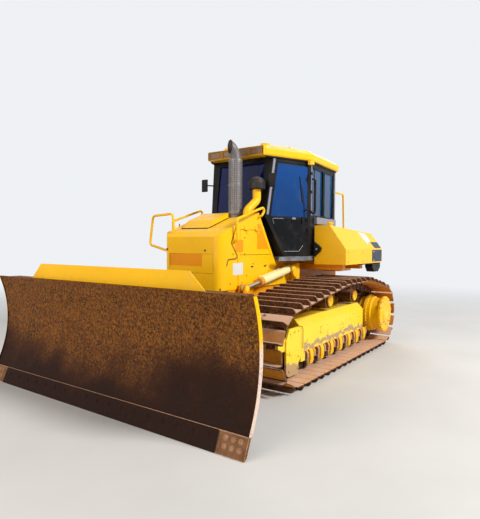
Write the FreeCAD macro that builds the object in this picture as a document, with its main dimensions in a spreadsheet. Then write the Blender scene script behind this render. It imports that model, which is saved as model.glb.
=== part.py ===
import FreeCAD, Part
import math
import os
import Sketcher
from FreeCAD import Placement, Rotation, Vector

# Bulldozer on wide tracks, in millimetres. X points forward, Y to the left, Z up.
# The origin is on the ground under the middle of the whole machine.

os.makedirs("parts", exist_ok=True)
doc = FreeCAD.newDocument("Bulldozer")

# Driving dimensions: name, value, what it measures
SIZES = [
    ("track_gauge", 2140, "between the middles of the tracks"),
    ("shoe_wide", 860, "track shoe across"),
    ("shoe_thick", 16, "plate of a track shoe"),
    ("grouser_tall", 65, "bar on a shoe, above its plate"),
    ("grouser_thick", 22, "bar on a shoe, along the track"),
    ("link_pitch", 190, "between chain pins"),
    ("pin_to_shoe", 58, "chain pin to the back of the shoe"),
    ("pin_to_rail", 52, "chain pin to the running face of the link"),
    ("rail_gap", 110, "between the two link rails"),
    ("rail_wide", 42, "one link rail"),
    ("idler_x", 974, "front idler axle"),
    ("sprocket_x", -2175, "sprocket axle"),
    ("idler_pin_radius", 370, "chain pins round the idler"),
    ("sprocket_pin_radius", 398, "chain pins round the sprocket"),
    ("carrier_front_x", -500, "front carrier roller"),
    ("carrier_rear_x", -1450, "rear carrier roller"),
    ("carrier_pin_z", 1080, "chain pins over the carrier rollers"),
    ("running_gap", 0.3, "between parts that roll or slide on each other"),
    ("roller_radius", 92, "tread of a track roller"),
    ("roller_flange", 18, "flange beyond the tread"),
    ("roller_first_x", 560, "front track roller"),
    ("roller_step", 325, "between track rollers"),
    ("roller_count", 8, "track rollers on a side"),
    ("roller_shaft", 34, "radius of a roller's shaft"),
    ("roller_play", 4, "between a link rail and a roller's flange"),
    ("flange_wide", 22, "one flange of a track roller"),
    ("shaft_reach", 45, "a roller's shaft beyond its flange"),
    ("carrier_radius", 118, "tread of a carrier roller"),
    ("tooth_count", 26, "sprocket teeth"),
    ("drive_flange_radius", 312, "bolted flange of a final drive"),
    ("drive_cover_radius", 300, "outer cover of a final drive"),
    ("drive_drum_radius", 266, "final drive between its flange and its cover"),
    ("drive_lobes", 16, "hollows round the outer cover"),
    ("beam_wide", 380, "track frame across"),
    ("beam_low", 400, "underside of the track frame"),
    ("beam_high", 755, "top of the track frame"),
    ("beam_front_x", 505, "front end of the track frame"),
    ("beam_rear_x", -1700, "rear end of the track frame"),
    ("beam_bevel", 95, "sloped upper edges of the track frame"),
    ("skirt_low", 225, "plates beside the rollers"),
    ("skirt_thick", 22, "plates beside the rollers"),
    ("rib_low", 140, "feet of the plates beside the rollers"),
    ("rib_half", 62, "half a foot of those plates along the track"),
    ("guard_rear_x", 535, "rear edge of the plates beside the idler"),
    ("guard_front_x", 905, "front edge of the plates beside the idler"),
    ("guard_high", 690, "top of the plates beside the idler"),
    ("guard_low", 112, "foot of the plates beside the idler"),
    ("guard_round", 90, "round lower corner of those plates"),
    ("stub_x", -1500, "pivot shaft between the frame and the tracks"),
    ("stub_z", 560, "pivot shaft between the frame and the tracks"),
    ("stub_radius", 85, "pivot shaft between the frame and the tracks"),
    ("bar_front_x", 160, "equalizer bar"),
    ("bar_long", 100, "equalizer bar along the machine"),
    ("bar_low", 825, "underside of the equalizer bar"),
    ("bar_tall", 80, "equalizer bar"),
    ("hull_wide", 960, "main frame across"),
    ("hull_low", 430, "belly of the main frame"),
    ("hull_high", 1120, "top of the main frame"),
    ("hull_front_x", 1000, "front of the main frame at its top"),
    ("hull_chin_x", 560, "where the belly slope starts"),
    ("hull_rear_x", -2390, "rear of the main frame"),
    ("rear_pad_half", 400, "half the mounting pad behind the frame"),
    ("rear_pad_low", 640, "mounting pad behind the frame"),
    ("rear_pad_high", 1080, "mounting pad behind the frame"),
    ("rear_pad_thick", 25, "mounting pad behind the frame"),
    ("arm_inner_y", 530, "inner face of a push arm"),
    ("arm_wide", 92, "push arm across"),
    ("arm_tall", 170, "push arm height"),
    ("lift_pivot_x", -590, "push arm trunnion"),
    ("lift_pivot_z", 500, "push arm trunnion"),
    ("lift_boss_radius", 105, "push arm round its trunnion"),
    ("lift_pin_radius", 45, "trunnion pin"),
    ("nose_start_x", 1400, "where the arms turn in to the nose"),
    ("ball_x", 2110, "middle pivot of the blade"),
    ("ball_z", 420, "middle pivot of the blade"),
    ("swivel_pin_radius", 40, "upright pin at the nose"),
    ("blade_wide", 3860, "blade across"),
    ("blade_tall", 1285, "moldboard top above the ground"),
    ("blade_top_x", 2612, "moldboard top edge"),
    ("edge_x", 2744, "tip of the cutting edge"),
    ("edge_tall", 170, "cutting edge height"),
    ("edge_thick", 25, "cutting edge plate"),
    ("edge_ground_gap", 3, "cutting edge above the ground"),
    ("edge_lean", 70, "how far the edge leans back"),
    ("edge_step", 12, "cutting edge ahead of the moldboard"),
    ("moldboard_thick", 22, "moldboard plate"),
    ("moldboard_hollow", 125, "depth of the moldboard's curve"),
    ("blade_end", 130, "ribs and beams in from the blade's end"),
    ("end_bit_wide", 290, "corner bits"),
    ("guard_low_wide", 2700, "spill guard at its foot"),
    ("guard_high_wide", 2334, "spill guard at its top"),
    ("guard_tall", 175, "spill guard height"),
    ("guard_thick", 12, "spill guard plate"),
    ("guard_setback", 105, "spill guard behind the moldboard's top edge"),
    ("eye_x", 770, "lift rod eye on the push arm"),
    ("eye_z", 1130, "lift rod eye on the push arm"),
    ("cylinder_y", 576, "middle of a lift cylinder"),
    ("barrel_pivot_x", -450, "lift barrel pivot"),
    ("barrel_pivot_z", 1345, "lift barrel pivot"),
    ("barrel_radius", 58, "lift barrel"),
    ("barrel_long", 870, "lift barrel with its gland"),
    ("rod_radius", 28, "lift rod"),
    ("lift_extension", 125, "lift rod out from rest"),
    ("lift_eye_wide", 40, "lift cylinder eyes"),
    ("lift_eye_pin", 30, "pin at each end of a lift cylinder"),
    ("bracket_round", 58, "round of the barrel brackets"),
    ("bracket_leaf", 40, "outer leaf of the barrel brackets"),
    ("ear_thick", 15, "ears on the push arms"),
    ("ear_round", 62, "round tops of the ears"),
    ("angle_pivot_x", 1280, "angle barrel pivot on the push arm"),
    ("angle_pivot_y", 560, "angle barrel pivot on the push arm"),
    ("angle_eye_x", 2140, "angle rod eye on the yoke"),
    ("angle_eye_y", 500, "angle rod eye on the yoke"),
    ("angle_barrel_radius", 44, "angle barrel"),
    ("angle_barrel_long", 600, "angle barrel with its gland"),
    ("angle_rod_radius", 26, "angle rod"),
    ("angle_pin", 22, "pin at each end of an angle cylinder"),
    ("angle_stroke", 215, "angle rod either way from rest"),
    ("angle_eye_wide", 40, "angle cylinder eyes"),
    ("yoke_face_x", 2250, "front face of the yoke"),
    ("yoke_thick", 35, "yoke plates"),
    ("yoke_leaf", 20, "fork leaves on the yoke"),
    ("yoke_pin_radius", 50, "fore-and-aft pin in the blade"),
    ("tilt_rise", 510, "tilt cylinder above the blade's pivot"),
    ("tilt_x", 2310, "middle of the tilt cylinder"),
    ("tilt_barrel_radius", 42, "tilt barrel"),
    ("tilt_barrel_long", 450, "tilt barrel with its gland"),
    ("tilt_rod_radius", 24, "tilt rod"),
    ("tilt_pin", 20, "pin at each end of the tilt cylinder"),
    ("tilt_stroke", 55, "tilt rod either way from rest"),
    ("tilt_eye_wide", 36, "tilt cylinder eyes"),
    ("tilt_pivot_y", 150, "tilt barrel pivot on the yoke"),
    ("tilt_eye_y", -560, "tilt rod eye on the blade"),
    ("hood_wide", 980, "hood across"),
    ("hood_wall", 30, "hood panels and doors"),
    ("hood_front_x", 1160, "front face of the hood"),
    ("hood_front_z", 1865, "hood top at the front"),
    ("hood_rear_x", 300, "hood top at the cab"),
    ("hood_rear_z", 2140, "hood top at the cab"),
    ("hood_heel_x", -180, "hood rear edge at its foot"),
    ("hood_heel_z", 1410, "hood rear edge at its foot"),
    ("hood_corner", 120, "round of the hood's front corners"),
    ("nose_split_x", 790, "where the nose meets the rear hood"),
    ("recess_half", 370, "half the recess in the hood's front"),
    ("recess_low", 1330, "recess in the hood's front"),
    ("recess_high", 1580, "recess in the hood's front"),
    ("recess_deep", 14, "recess in the hood's front"),
    ("side_door_low", 1560, "foot of the engine side doors"),
    ("side_door_high", 1900, "top of the engine side doors"),
    ("hump_front_x", 960, "raised hood cover"),
    ("hump_rear_x", 520, "raised hood cover"),
    ("hump_low_y", -330, "raised hood cover"),
    ("hump_high_y", 130, "raised hood cover"),
    ("door_gap", 6, "round doors"),
    ("hinge_offset", 14, "hinge axis outside the panel"),
    ("hinge_radius", 11, "hinge knuckle"),
    ("hinge_long", 50, "hinge knuckle"),
    ("stack_x", 410, "exhaust"),
    ("stack_y", 170, "exhaust"),
    ("stack_radius", 92, "exhaust heat shield"),
    ("stack_shield_top", 2890, "exhaust heat shield top"),
    ("stack_pipe_radius", 75, "exhaust pipe"),
    ("stack_pipe_wall", 6, "exhaust pipe"),
    ("stack_bend", 230, "bend of the exhaust tip"),
    ("stack_turn_z", 3010, "where the line of the exhaust pipe turns"),
    ("stack_mouth", 90, "exhaust mouth ahead of the pipe's middle"),
    ("stack_aim", -25, "way the exhaust mouth faces, in degrees from straight ahead"),
    ("cleaner_x", 225, "intake cap"),
    ("cleaner_y", 405, "intake cap"),
    ("cleaner_z", 2470, "intake cap foot"),
    ("cleaner_radius", 120, "intake cap"),
    ("cleaner_tall", 175, "intake cap"),
    ("intake_radius", 58, "intake pipe"),
    ("cab_floor_z", 1530, "cab floor"),
    ("cab_top_z", 2960, "top of the cab walls"),
    ("cab_kink_z", 2090, "where the cab front turns back"),
    ("cab_wall", 50, "cab walls and doors"),
    ("cab_front_x", 120, "cab front at its kink"),
    ("cab_front_half", 480, "half the cab's front"),
    ("cab_waist_x", -650, "widest part of the cab"),
    ("cab_waist_half", 800, "half the cab's widest part"),
    ("cab_rear_x", -1760, "cab rear"),
    ("cab_rear_half", 720, "half the cab's rear"),
    ("handle_tube", 13, "grab handle tube radius"),
    ("mirror_wide", 110, "mirror across"),
    ("mirror_tall", 190, "mirror height"),
    ("window_low", 2140, "foot of the cab's windows"),
    ("window_high", 2885, "top of the cab's windows"),
    ("window_edge", 80, "windows in from the cab's corners"),
    ("glass_thick", 6, "panes"),
    ("glass_inset", 20, "panes behind the cab's outer face"),
    ("seat_half", 245, "half the seat's breadth"),
    ("seat_high", 1920, "top of the seat's cushion"),
    ("seat_back", 640, "seat back above the cushion"),
    ("dash_setback", 320, "top of the dash behind the cab's front"),
    ("dash_high", 2060, "top of the dash"),
    ("roof_tall", 170, "roof"),
    ("roof_overhang", 45, "roof beyond the walls"),
    ("lamp_bar_half", 490, "half the lamp housing on the roof's front"),
    ("platform_thick", 60, "floor platform"),
    ("wing_inner_y", 645, "inner edge of the step beside a door"),
    ("wing_tip", 110, "step's tip behind the cab's front"),
    ("step_gap", 20, "between the platform and a side tank"),
    ("base_half", 480, "half the base under the platform"),
    ("tank_front_x", -740, "side tanks front"),
    ("tank_rear_x", -2390, "side tanks rear"),
    ("tank_clearance", 35, "between the cab's widest part and a side tank"),
    ("tank_wide", 505, "side tanks across"),
    ("tank_low", 1410, "side tanks underside"),
    ("tank_shoulder_z", 1640, "side tanks below the slope"),
    ("tank_high", 2000, "side tanks top"),
    ("tank_top_wide", 245, "flat top of the side tanks across"),
    ("tank_fall", 90, "how far the tank top falls to the rear"),
    ("filler_radius", 44, "filler cap on the left tank"),
    ("tank_wall", 60, "gap between the housing and the tanks"),
    ("housing_front_x", -1880, "radiator housing front"),
    ("housing_rear_x", -2390, "radiator housing rear"),
    ("housing_low", 1250, "radiator housing underside, above the tracks"),
    ("housing_high", 1930, "radiator housing top"),
    ("housing_wall", 40, "radiator housing walls"),
    ("fan_radius", 285, "cooling fan"),
    ("fan_z", 1590, "fan shaft"),
    ("fan_hub_radius", 80, "fan hub"),
    ("core_thick", 110, "radiator core"),
    ("drawbar_rear_x", -2744, "end of the drawbar"),
    ("drawbar_z", 560, "middle of the drawbar"),
    ("drawbar_thick", 90, "drawbar"),
    ("drawbar_half", 110, "half the drawbar's breadth"),
    ("drawbar_pin_radius", 26, "drawbar pin hole"),
    ("rail_tube", 17, "handrail tube radius"),
    ("engine_front_x", 960, "engine block"),
    ("engine_rear_x", 20, "engine block"),
    ("engine_half", 300, "half the engine block"),
    ("engine_high", 1800, "engine block top"),
]


class Size:
    """A number with the spreadsheet formula that gives it."""

    def __init__(self, value, formula):
        self.value = value
        self.formula = formula

    def joined(self, sign, other, value):
        return Size(value, "(" + self.formula + sign + as_size(other).formula + ")")

    def __add__(self, other):
        return self.joined(" + ", other, self.value + as_size(other).value)

    def __sub__(self, other):
        return self.joined(" - ", other, self.value - as_size(other).value)

    def __mul__(self, other):
        return self.joined(" * ", other, self.value * as_size(other).value)

    def __truediv__(self, other):
        return self.joined(" / ", other, self.value / as_size(other).value)

    def __radd__(self, other):
        return as_size(other) + self

    def __rsub__(self, other):
        return as_size(other) - self

    def __rmul__(self, other):
        return as_size(other) * self

    def __neg__(self):
        return as_size(0) - self

    def __float__(self):
        return self.value


def as_size(number):
    if isinstance(number, Size):
        return number
    return Size(float(number), "(%r)" % float(number))


class Sizes:
    """Each driving dimension by its name."""


sheet = doc.addObject("Spreadsheet::Sheet", "Sizes")
d = Sizes()
for row, (name, value, meaning) in enumerate(SIZES, start=1):
    sheet.set("A%d" % row, name)
    sheet.set("B%d" % row, str(value))
    sheet.set("C%d" % row, meaning)
    sheet.setAlias("B%d" % row, name)
doc.recompute()
for name, value, meaning in SIZES:
    setattr(d, name, Size(float(getattr(sheet, name)), "Sizes." + name))

# Plane name: the rotation that lays a sketch in it, and the way its pads run
PLANES = {
    "XY": (Rotation(), Vector(0, 0, 1)),
    "XZ": (Rotation(Vector(1, 0, 0), 90), Vector(0, 1, 0)),
    "YZ": (Rotation(Vector(1, 1, 1), 120), Vector(1, 0, 0)),
}


def bind(item, prop, size):
    item.setExpression(prop, as_size(size).formula)


def draw(sketch, points):
    """Closes a line through points whose sizes follow the sheet."""
    points = [(as_size(u), as_size(v)) for u, v in points]
    spots = [Vector(u.value, v.value, 0) for u, v in points]
    count = len(spots)
    for i in range(count):
        sketch.addGeometry(Part.LineSegment(spots[i], spots[(i + 1) % count]), False)
    for i in range(count):
        sketch.addConstraint(Sketcher.Constraint("Coincident", i, 2, (i + 1) % count, 1))
    for i, (u, v) in enumerate(points):
        for kind, size in (("DistanceX", u), ("DistanceY", v)):
            number = sketch.addConstraint(Sketcher.Constraint(kind, -1, 1, i, 1, size.value))
            bind(sketch, "Constraints[%d]" % number, size)


def prism(name, plane, points, low, high):
    """Straight solid over an outline, from low to high along the plane's normal."""
    turn, way = PLANES[plane]
    low, high = as_size(low), as_size(high)
    sketch = doc.addObject("Sketcher::SketchObject", name + "_sketch")
    sketch.Placement = Placement(way * low.value, turn)
    axis = {"XY": "z", "XZ": "y", "YZ": "x"}[plane]
    bind(sketch, "Placement.Base." + axis, low)
    draw(sketch, points)
    solid = doc.addObject("Part::Extrusion", name)
    solid.Base = sketch
    solid.DirMode = "Custom"
    solid.Dir = way
    solid.Solid = True
    bind(solid, "LengthFwd", high - low)
    return solid


def block(name, x, y, z):
    """Box between low and high values on each axis."""
    solid = doc.addObject("Part::Box", name)
    for prop, base, (low, high) in (("Length", "x", x), ("Width", "y", y), ("Height", "z", z)):
        bind(solid, prop, as_size(high) - low)
        bind(solid, "Placement.Base." + base, low)
    return solid


def rod(name, axis, centre, low, high, radius):
    """Cylinder along X, Y or Z from low to high, round centre on the other two axes."""
    solid = doc.addObject("Part::Cylinder", name)
    turn = {"x": Rotation(Vector(0, 1, 0), 90), "y": Rotation(Vector(1, 0, 0), -90),
            "z": Rotation()}[axis]
    solid.Placement = Placement(Vector(), turn)
    others = [letter for letter in "xyz" if letter != axis]
    bind(solid, "Radius", radius)
    bind(solid, "Height", as_size(high) - low)
    bind(solid, "Placement.Base." + axis, low)
    for letter, size in zip(others, centre):
        bind(solid, "Placement.Base." + letter, size)
    return solid


def fuse(name, pieces):
    whole = doc.addObject("Part::MultiFuse", name)
    whole.Shapes = pieces
    return whole


def cut(name, base, tools):
    left = doc.addObject("Part::Cut", name)
    left.Base = base
    left.Tool = tools[0] if len(tools) == 1 else fuse(name + "_tools", tools)
    return left


def together(name, pieces):
    """Like pieces that don't touch, in one node."""
    group = doc.addObject("Part::Compound", name)
    group.Links = pieces
    return group


def shaped(name, shape):
    """Piece whose form is worked out below from the same sizes."""
    item = doc.addObject("Part::Feature", name)
    item.Shape = shape
    return item


def mirrored(name, source):
    """The same piece on the right-hand side."""
    other = doc.addObject("Part::Mirroring", name)
    other.Source = source
    other.Normal = Vector(0, 1, 0)
    return other


NODES = {}


def node(name, item):
    item.Label = name
    NODES[name] = item
    return item


def flipped(turn, near, far):
    """Low and high values of a span from near to far, on the side that turn gives."""
    one, two = turn * near, turn * far
    return (one, two) if turn > 0 else (two, one)


def polygon(points):
    """Closed outline through points in space."""
    spots = [Vector(*point) for point in points]
    return Part.Wire(Part.makePolygon(spots + spots[:1]))


def swept_y(points, low, high):
    """Solid over an outline in X and Z, from low to high along Y."""
    face = Part.Face(polygon([(x, low, z) for x, z in points]))
    return face.extrude(Vector(0, high - low, 0))


def tube(points, radius, bend):
    """Round bar along straight runs with rounded corners."""
    spots = [Vector(*point) for point in points]
    edges = []
    start = spots[0]
    for i in range(1, len(spots) - 1):
        back = (spots[i - 1] - spots[i]).normalize()
        ahead = (spots[i + 1] - spots[i]).normalize()
        half = back.getAngle(ahead) / 2
        reach = bend / math.tan(half)
        enter, leave = spots[i] + back * reach, spots[i] + ahead * reach
        middle = spots[i] + (back + ahead).normalize() * (bend / math.sin(half) - bend)
        edges.append(Part.LineSegment(start, enter).toShape())
        edges.append(Part.Arc(enter, middle, leave).toShape())
        start = leave
    edges.append(Part.LineSegment(start, spots[-1]).toShape())
    first = (spots[1] - spots[0]).normalize()
    ring = Part.Wire(Part.makeCircle(radius, spots[0], first))
    return Part.Wire(edges).makePipeShell([ring], True, True)


def hinge_half(spot, along, way, inward, start):
    """Half of a hinge: its knuckle on the axis, and the leaf that holds it."""
    spot, along, way, inward = Vector(*spot), Vector(*along), Vector(*way), Vector(*inward)
    offset, long = d.hinge_offset.value, d.hinge_long.value
    base = spot + along * start
    knuckle = Part.makeCylinder(d.hinge_radius.value, long, base, along)
    near, far = base + inward * (offset - 9), base + inward * (offset + 2)
    leaf = Part.Face(polygon([near, far, far + way * 45, near + way * 45])).extrude(along * long)
    return knuckle.fuse(leaf)


def hinge(spot, along, way, inward, starts):
    """Moving and fixed halves, one on the other, at each start along the axis."""
    step = d.hinge_long.value + d.running_gap.value
    back = -Vector(*way)
    moving = [hinge_half(spot, along, way, inward, start) for start in starts]
    fixed = [hinge_half(spot, along, back, inward, start + step) for start in starts]
    return moving, fixed


# Undercarriage

pin_low = d.grouser_tall + d.shoe_thick + d.pin_to_shoe
idler_z = pin_low + d.idler_pin_radius
sprocket_z = pin_low + d.sprocket_pin_radius
half_gauge = d.track_gauge / 2


def chain_pins():
    """Pin centres along the chain, from under the sprocket forward and round."""
    low = pin_low.value
    front = Vector(d.idler_x.value, idler_z.value, 0)
    rear = Vector(d.sprocket_x.value, sprocket_z.value, 0)
    front_radius, rear_radius = d.idler_pin_radius.value, d.sprocket_pin_radius.value
    peak_front = Vector(d.carrier_front_x.value, d.carrier_pin_z.value, 0)
    peak_rear = Vector(d.carrier_rear_x.value, d.carrier_pin_z.value, 0)

    def tangent_angle(peak, centre, radius, side):
        away = peak - centre
        return math.atan2(away.y, away.x) + side * math.acos(radius / away.Length)

    front_angle = tangent_angle(peak_front, front, front_radius, -1)
    rear_angle = tangent_angle(peak_rear, rear, rear_radius, 1)

    def on_circle(centre, radius, angle):
        return centre + Vector(math.cos(angle), math.sin(angle), 0) * radius

    def straight(start, end):
        length = (end - start).Length
        return length, lambda part: start + (end - start) * (part / length)

    def around(centre, radius, start, end):
        length = radius * (end - start)
        return length, lambda part: on_circle(centre, radius, start + part / radius)

    quarter = math.pi / 2
    runs = [
        straight(Vector(rear.x, low, 0), Vector(front.x, low, 0)),
        around(front, front_radius, -quarter, front_angle),
        straight(on_circle(front, front_radius, front_angle), peak_front),
        straight(peak_front, peak_rear),
        straight(peak_rear, on_circle(rear, rear_radius, rear_angle)),
        around(rear, rear_radius, rear_angle, 3 * quarter),
    ]
    whole = sum(length for length, place in runs)
    count = round(whole / d.link_pitch.value)
    pins = []
    for i in range(count):
        along = whole * i / count
        for length, place in runs:
            if along <= length:
                pins.append(place(along))
                break
            along -= length
    return pins


PINS = chain_pins()


def link_frames():
    """For each link: its start, its way along the chain and its way outward."""
    frames = []
    for i, start in enumerate(PINS):
        end = PINS[(i + 1) % len(PINS)]
        along = (end - start).normalize()
        frames.append((start, end, along, Vector(along.y, -along.x, 0)))
    return frames


def chain_offset(distance):
    """Closed outline at a distance outside the pin line."""
    frames = link_frames()
    points = []
    for i, (start, end, along, outward) in enumerate(frames):
        before = frames[i - 1][3]
        middle = (before + outward).normalize()
        spot = start + middle * (distance / middle.dot(outward))
        points.append((spot.x, spot.y))
    return points


def shoe_outline():
    """Outside of the shoes: a bar at the front of each plate."""
    plate = d.pin_to_shoe.value + d.shoe_thick.value
    tip = plate + d.grouser_tall.value
    points = []
    for start, end, along, outward in link_frames():
        bar = along * d.grouser_thick.value
        for spot in (start + outward * tip, start + bar + outward * tip,
                     start + bar + outward * plate, end + outward * plate):
            points.append((spot.x, spot.y))
    return points


def ring_y(outer, inner, low, high):
    return swept_y(outer, low, high).cut(swept_y(inner, low, high))


def track_shape():
    middle = half_gauge.value
    half = d.shoe_wide.value / 2
    shoes = ring_y(shoe_outline(), chain_offset(d.pin_to_shoe.value), middle - half, middle + half)
    seat = chain_offset(d.pin_to_shoe.value + d.shoe_thick.value / 4)
    face = chain_offset(-d.pin_to_rail.value)
    rails = []
    for side in (-1, 1):
        near = middle + side * d.rail_gap.value / 2
        far = near + side * d.rail_wide.value
        rails.append(ring_y(seat, face, min(near, far), max(near, far)))
    return shoes.fuse(rails).removeSplitter()


def build_tracks():
    left = node("track_left", shaped("track_left", track_shape()))
    node("track_right", mirrored("track_right", left))


def turned(profile, centre_x, centre_z):
    """Solid of revolution about a line along Y, from (offset, radius) points."""
    middle = half_gauge.value
    spots = [Vector(centre_x, middle + offset, centre_z + radius) for offset, radius in profile]
    face = Part.Face(Part.Wire(Part.makePolygon(spots + spots[:1])))
    return face.revolve(Vector(centre_x, middle, centre_z), Vector(0, 1, 0), 360)


def tread_radius(pin_radius):
    """Wheel that just clears the flat links wrapped round it."""
    turn = (PINS[1] - PINS[0]).Length / pin_radius / 2
    return pin_radius * math.cos(turn) - d.pin_to_rail.value - d.running_gap.value


def build_idlers():
    tread = tread_radius(d.idler_pin_radius.value)
    guide = d.rail_gap.value / 2 - 6
    outer = d.rail_gap.value / 2 + d.rail_wide.value
    profile = [(-outer - 45, 0), (-outer - 45, 60), (-outer, 60), (-outer, 95), (-25, 110),
               (-25, tread - 50), (-outer, tread - 40), (-outer, tread), (-guide, tread),
               (-guide, tread + 22), (guide, tread + 22), (guide, tread), (outer, tread),
               (outer, tread - 40), (25, tread - 50), (25, 110), (outer, 95), (outer, 60),
               (outer + 45, 60), (outer + 45, 0)]
    left = shaped("idler", turned(profile, d.idler_x.value, idler_z.value))
    node("idlers", together("idlers", [left, mirrored("idler_other", left)]))


def build_sprockets():
    """Toothed rims on their hubs."""
    reach = d.sprocket_pin_radius.value
    count = int(d.tooth_count.value)
    step = 2 * math.pi / count
    tip, root = reach + 14, reach - 30
    points = []
    for i in range(count):
        for turn, radius in ((-0.30, root), (-0.14, tip), (0.14, tip), (0.30, root)):
            angle = (i + turn) * step
            points.append((d.sprocket_x.value + radius * math.cos(angle),
                           sprocket_z.value + radius * math.sin(angle)))
    middle = half_gauge.value
    rim = swept_y(points, middle - 34, middle + 34)
    bore = Part.makeCylinder(hub_radius(), 68, Vector(d.sprocket_x.value, middle - 34,
                             sprocket_z.value), Vector(0, 1, 0))
    left = shaped("sprocket", rim.cut(bore))
    node("sprockets", together("sprockets", [left, mirrored("sprocket_other", left)]))


def hub_radius():
    return d.sprocket_pin_radius.value - 125


def build_final_drives():
    """Drive housings through the sprockets, each with a flange, a drum and a lobed cover."""
    hub = hub_radius()
    inner = d.hull_wide.value / 2 - half_gauge.value
    flange, drum, cover = (d.drive_flange_radius.value, d.drive_drum_radius.value,
                           d.drive_cover_radius.value)
    profile = [(inner, 0), (inner, hub - 60), (-150, hub - 60), (-120, hub), (130, hub),
               (130, flange), (172, flange), (172, flange - 24), (235, flange - 24), (250, drum),
               (375, drum), (380, cover), (412, cover), (420, cover - 8), (420, cover / 2),
               (434, cover / 2 - 14), (434, 0)]
    housing = turned(profile, d.sprocket_x.value, sprocket_z.value)
    lobes = int(d.drive_lobes.value)
    hollow = Part.makeCylinder(22, 50, Vector(d.sprocket_x.value + cover + 8, half_gauge.value + 378,
                                              sprocket_z.value), Vector(0, 1, 0))
    hollows = []
    for i in range(lobes):
        tool = hollow.copy()
        tool.rotate(Vector(d.sprocket_x.value, 0, sprocket_z.value), Vector(0, 1, 0), i * 360 / lobes)
        hollows.append(tool)
    left = shaped("final_drive", housing.cut(hollows))
    node("final_drives", together("final_drives", [left, mirrored("final_drive_other", left)]))


roller_z = pin_low + d.pin_to_rail + d.running_gap + d.roller_radius


def build_track_rollers():
    guide = d.rail_gap.value / 2 - 6
    tread = d.roller_radius.value
    outer = d.rail_gap.value / 2 + d.rail_wide.value + d.roller_play.value
    flange = tread + d.roller_flange.value
    end = outer + d.flange_wide.value
    shaft, reach = d.roller_shaft.value, d.shaft_reach.value
    half = [(guide, tread - 25), (guide, tread), (outer, tread), (outer, flange), (end, flange),
            (end, shaft + 12), (end + reach, shaft + 12), (end + reach, 0)]
    profile = [(-offset, radius) for offset, radius in reversed(half)] + half
    pieces = []
    for i in range(int(d.roller_count.value)):
        x = d.roller_first_x.value - i * d.roller_step.value
        pieces.append(turned(profile, x, roller_z.value))
    left = shaped("rollers_left", Part.makeCompound(pieces))
    node("track_rollers", together("track_rollers", [left, mirrored("rollers_right", left)]))


def carrier_height(x):
    """Highest axle height at which a carrier roller clears the links above it."""
    reach = d.carrier_radius.value + d.running_gap.value
    best = 1e9
    for start, end, along, outward in link_frames():
        if outward.y < 0.5:
            continue
        point = start - outward * d.pin_to_rail.value
        rise = ((x - point.x) * -outward.x) / outward.y + point.y
        best = min(best, rise - reach / outward.y)
    return best


def build_carrier_rollers():
    inner = d.rail_gap.value / 2 - 6
    outer = d.rail_gap.value / 2 + d.rail_wide.value + d.roller_play.value
    tread = d.carrier_radius.value
    profile = [(-outer - 80, 0), (-outer - 80, 40), (-outer - 14, 40), (-outer - 14, tread),
               (outer + 14, tread), (outer + 14, tread - 22), (outer + 40, tread - 30),
               (outer + 40, 0)]
    pieces = []
    for x in (d.carrier_front_x.value, d.carrier_rear_x.value):
        height = carrier_height(x)
        pieces.append(turned(profile, x, height))
    left = shaped("carriers_left", Part.makeCompound(pieces))
    node("carrier_rollers", together("carrier_rollers", [left, mirrored("carriers_right", left)]))


def build_track_frames():
    """Bevelled box beams with the idler fork, roller collars and carrier posts."""
    near, far = half_gauge - d.beam_wide / 2, half_gauge + d.beam_wide / 2
    bevel = d.beam_bevel
    section = [(near, d.beam_low), (far, d.beam_low), (far, d.beam_high - bevel),
               (far - bevel, d.beam_high), (near + bevel, d.beam_high),
               (near, d.beam_high - bevel)]
    pieces = [prism("beam", "YZ", section, d.beam_rear_x, d.beam_front_x)]
    fork_low, fork_high = idler_z - 75, idler_z + 75
    fork_inner = d.rail_gap / 2 + d.rail_wide + 46
    for side in (-1, 1):
        low, high = flipped(side, fork_inner, fork_inner + 42)
        pieces.append(block("fork", (d.beam_front_x - 60, d.idler_x + 90),
                            (half_gauge + low, half_gauge + high), (fork_low, fork_high)))
    skirt_inner = d.rail_gap / 2 + d.rail_wide + d.roller_play + d.flange_wide + d.shaft_reach
    edge = [(d.beam_front_x, d.beam_low + 20), (d.beam_front_x, d.skirt_low)]
    for i in range(1, int(d.roller_count.value)):
        x = d.roller_first_x - i * d.roller_step
        edge += [(x + d.rib_half + 20, d.skirt_low), (x + d.rib_half, d.rib_low),
                 (x - d.rib_half, d.rib_low), (x - d.rib_half - 20, d.skirt_low)]
    edge += [(d.beam_rear_x, d.skirt_low), (d.beam_rear_x, d.beam_low + 20)]
    corner = d.guard_round
    guard = [(d.guard_rear_x, d.guard_high - 25), (d.guard_rear_x + 40, d.guard_high),
             (d.guard_front_x - 75, d.guard_high), (d.guard_front_x, d.guard_high - 130),
             (d.guard_front_x, d.guard_low + corner), (d.guard_front_x - corner, d.guard_low),
             (d.guard_rear_x + 60, d.guard_low), (d.guard_rear_x + 60, d.skirt_low + 10),
             (d.guard_rear_x, d.skirt_low + 80)]
    for side in (-1, 1):
        low, high = flipped(side, skirt_inner, skirt_inner + d.skirt_thick)
        pieces.append(prism("skirt", "XZ", edge, half_gauge + low, half_gauge + high))
        low, high = flipped(side, fork_inner + 40, fork_inner + 42 + d.skirt_thick)
        pieces.append(prism("guard", "XZ", guard, half_gauge + low, half_gauge + high))
        pieces.append(rod("guard_corner", "y", (d.guard_front_x - corner, d.guard_low + corner),
                          half_gauge + low, half_gauge + high, corner))
    for x in (d.carrier_front_x, d.carrier_rear_x):
        height = carrier_height(x.value)
        inner = half_gauge - d.rail_gap / 2 - d.rail_wide - d.roller_play - 80
        pieces.append(block("post", (x - 50, x + 50), (inner - 40, inner),
                            (d.beam_high - 100, height + 45)))
    left = fuse("track_frame_left", pieces)
    node("track_frame_left", left)
    node("track_frame_right", mirrored("track_frame_right", left))


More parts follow.
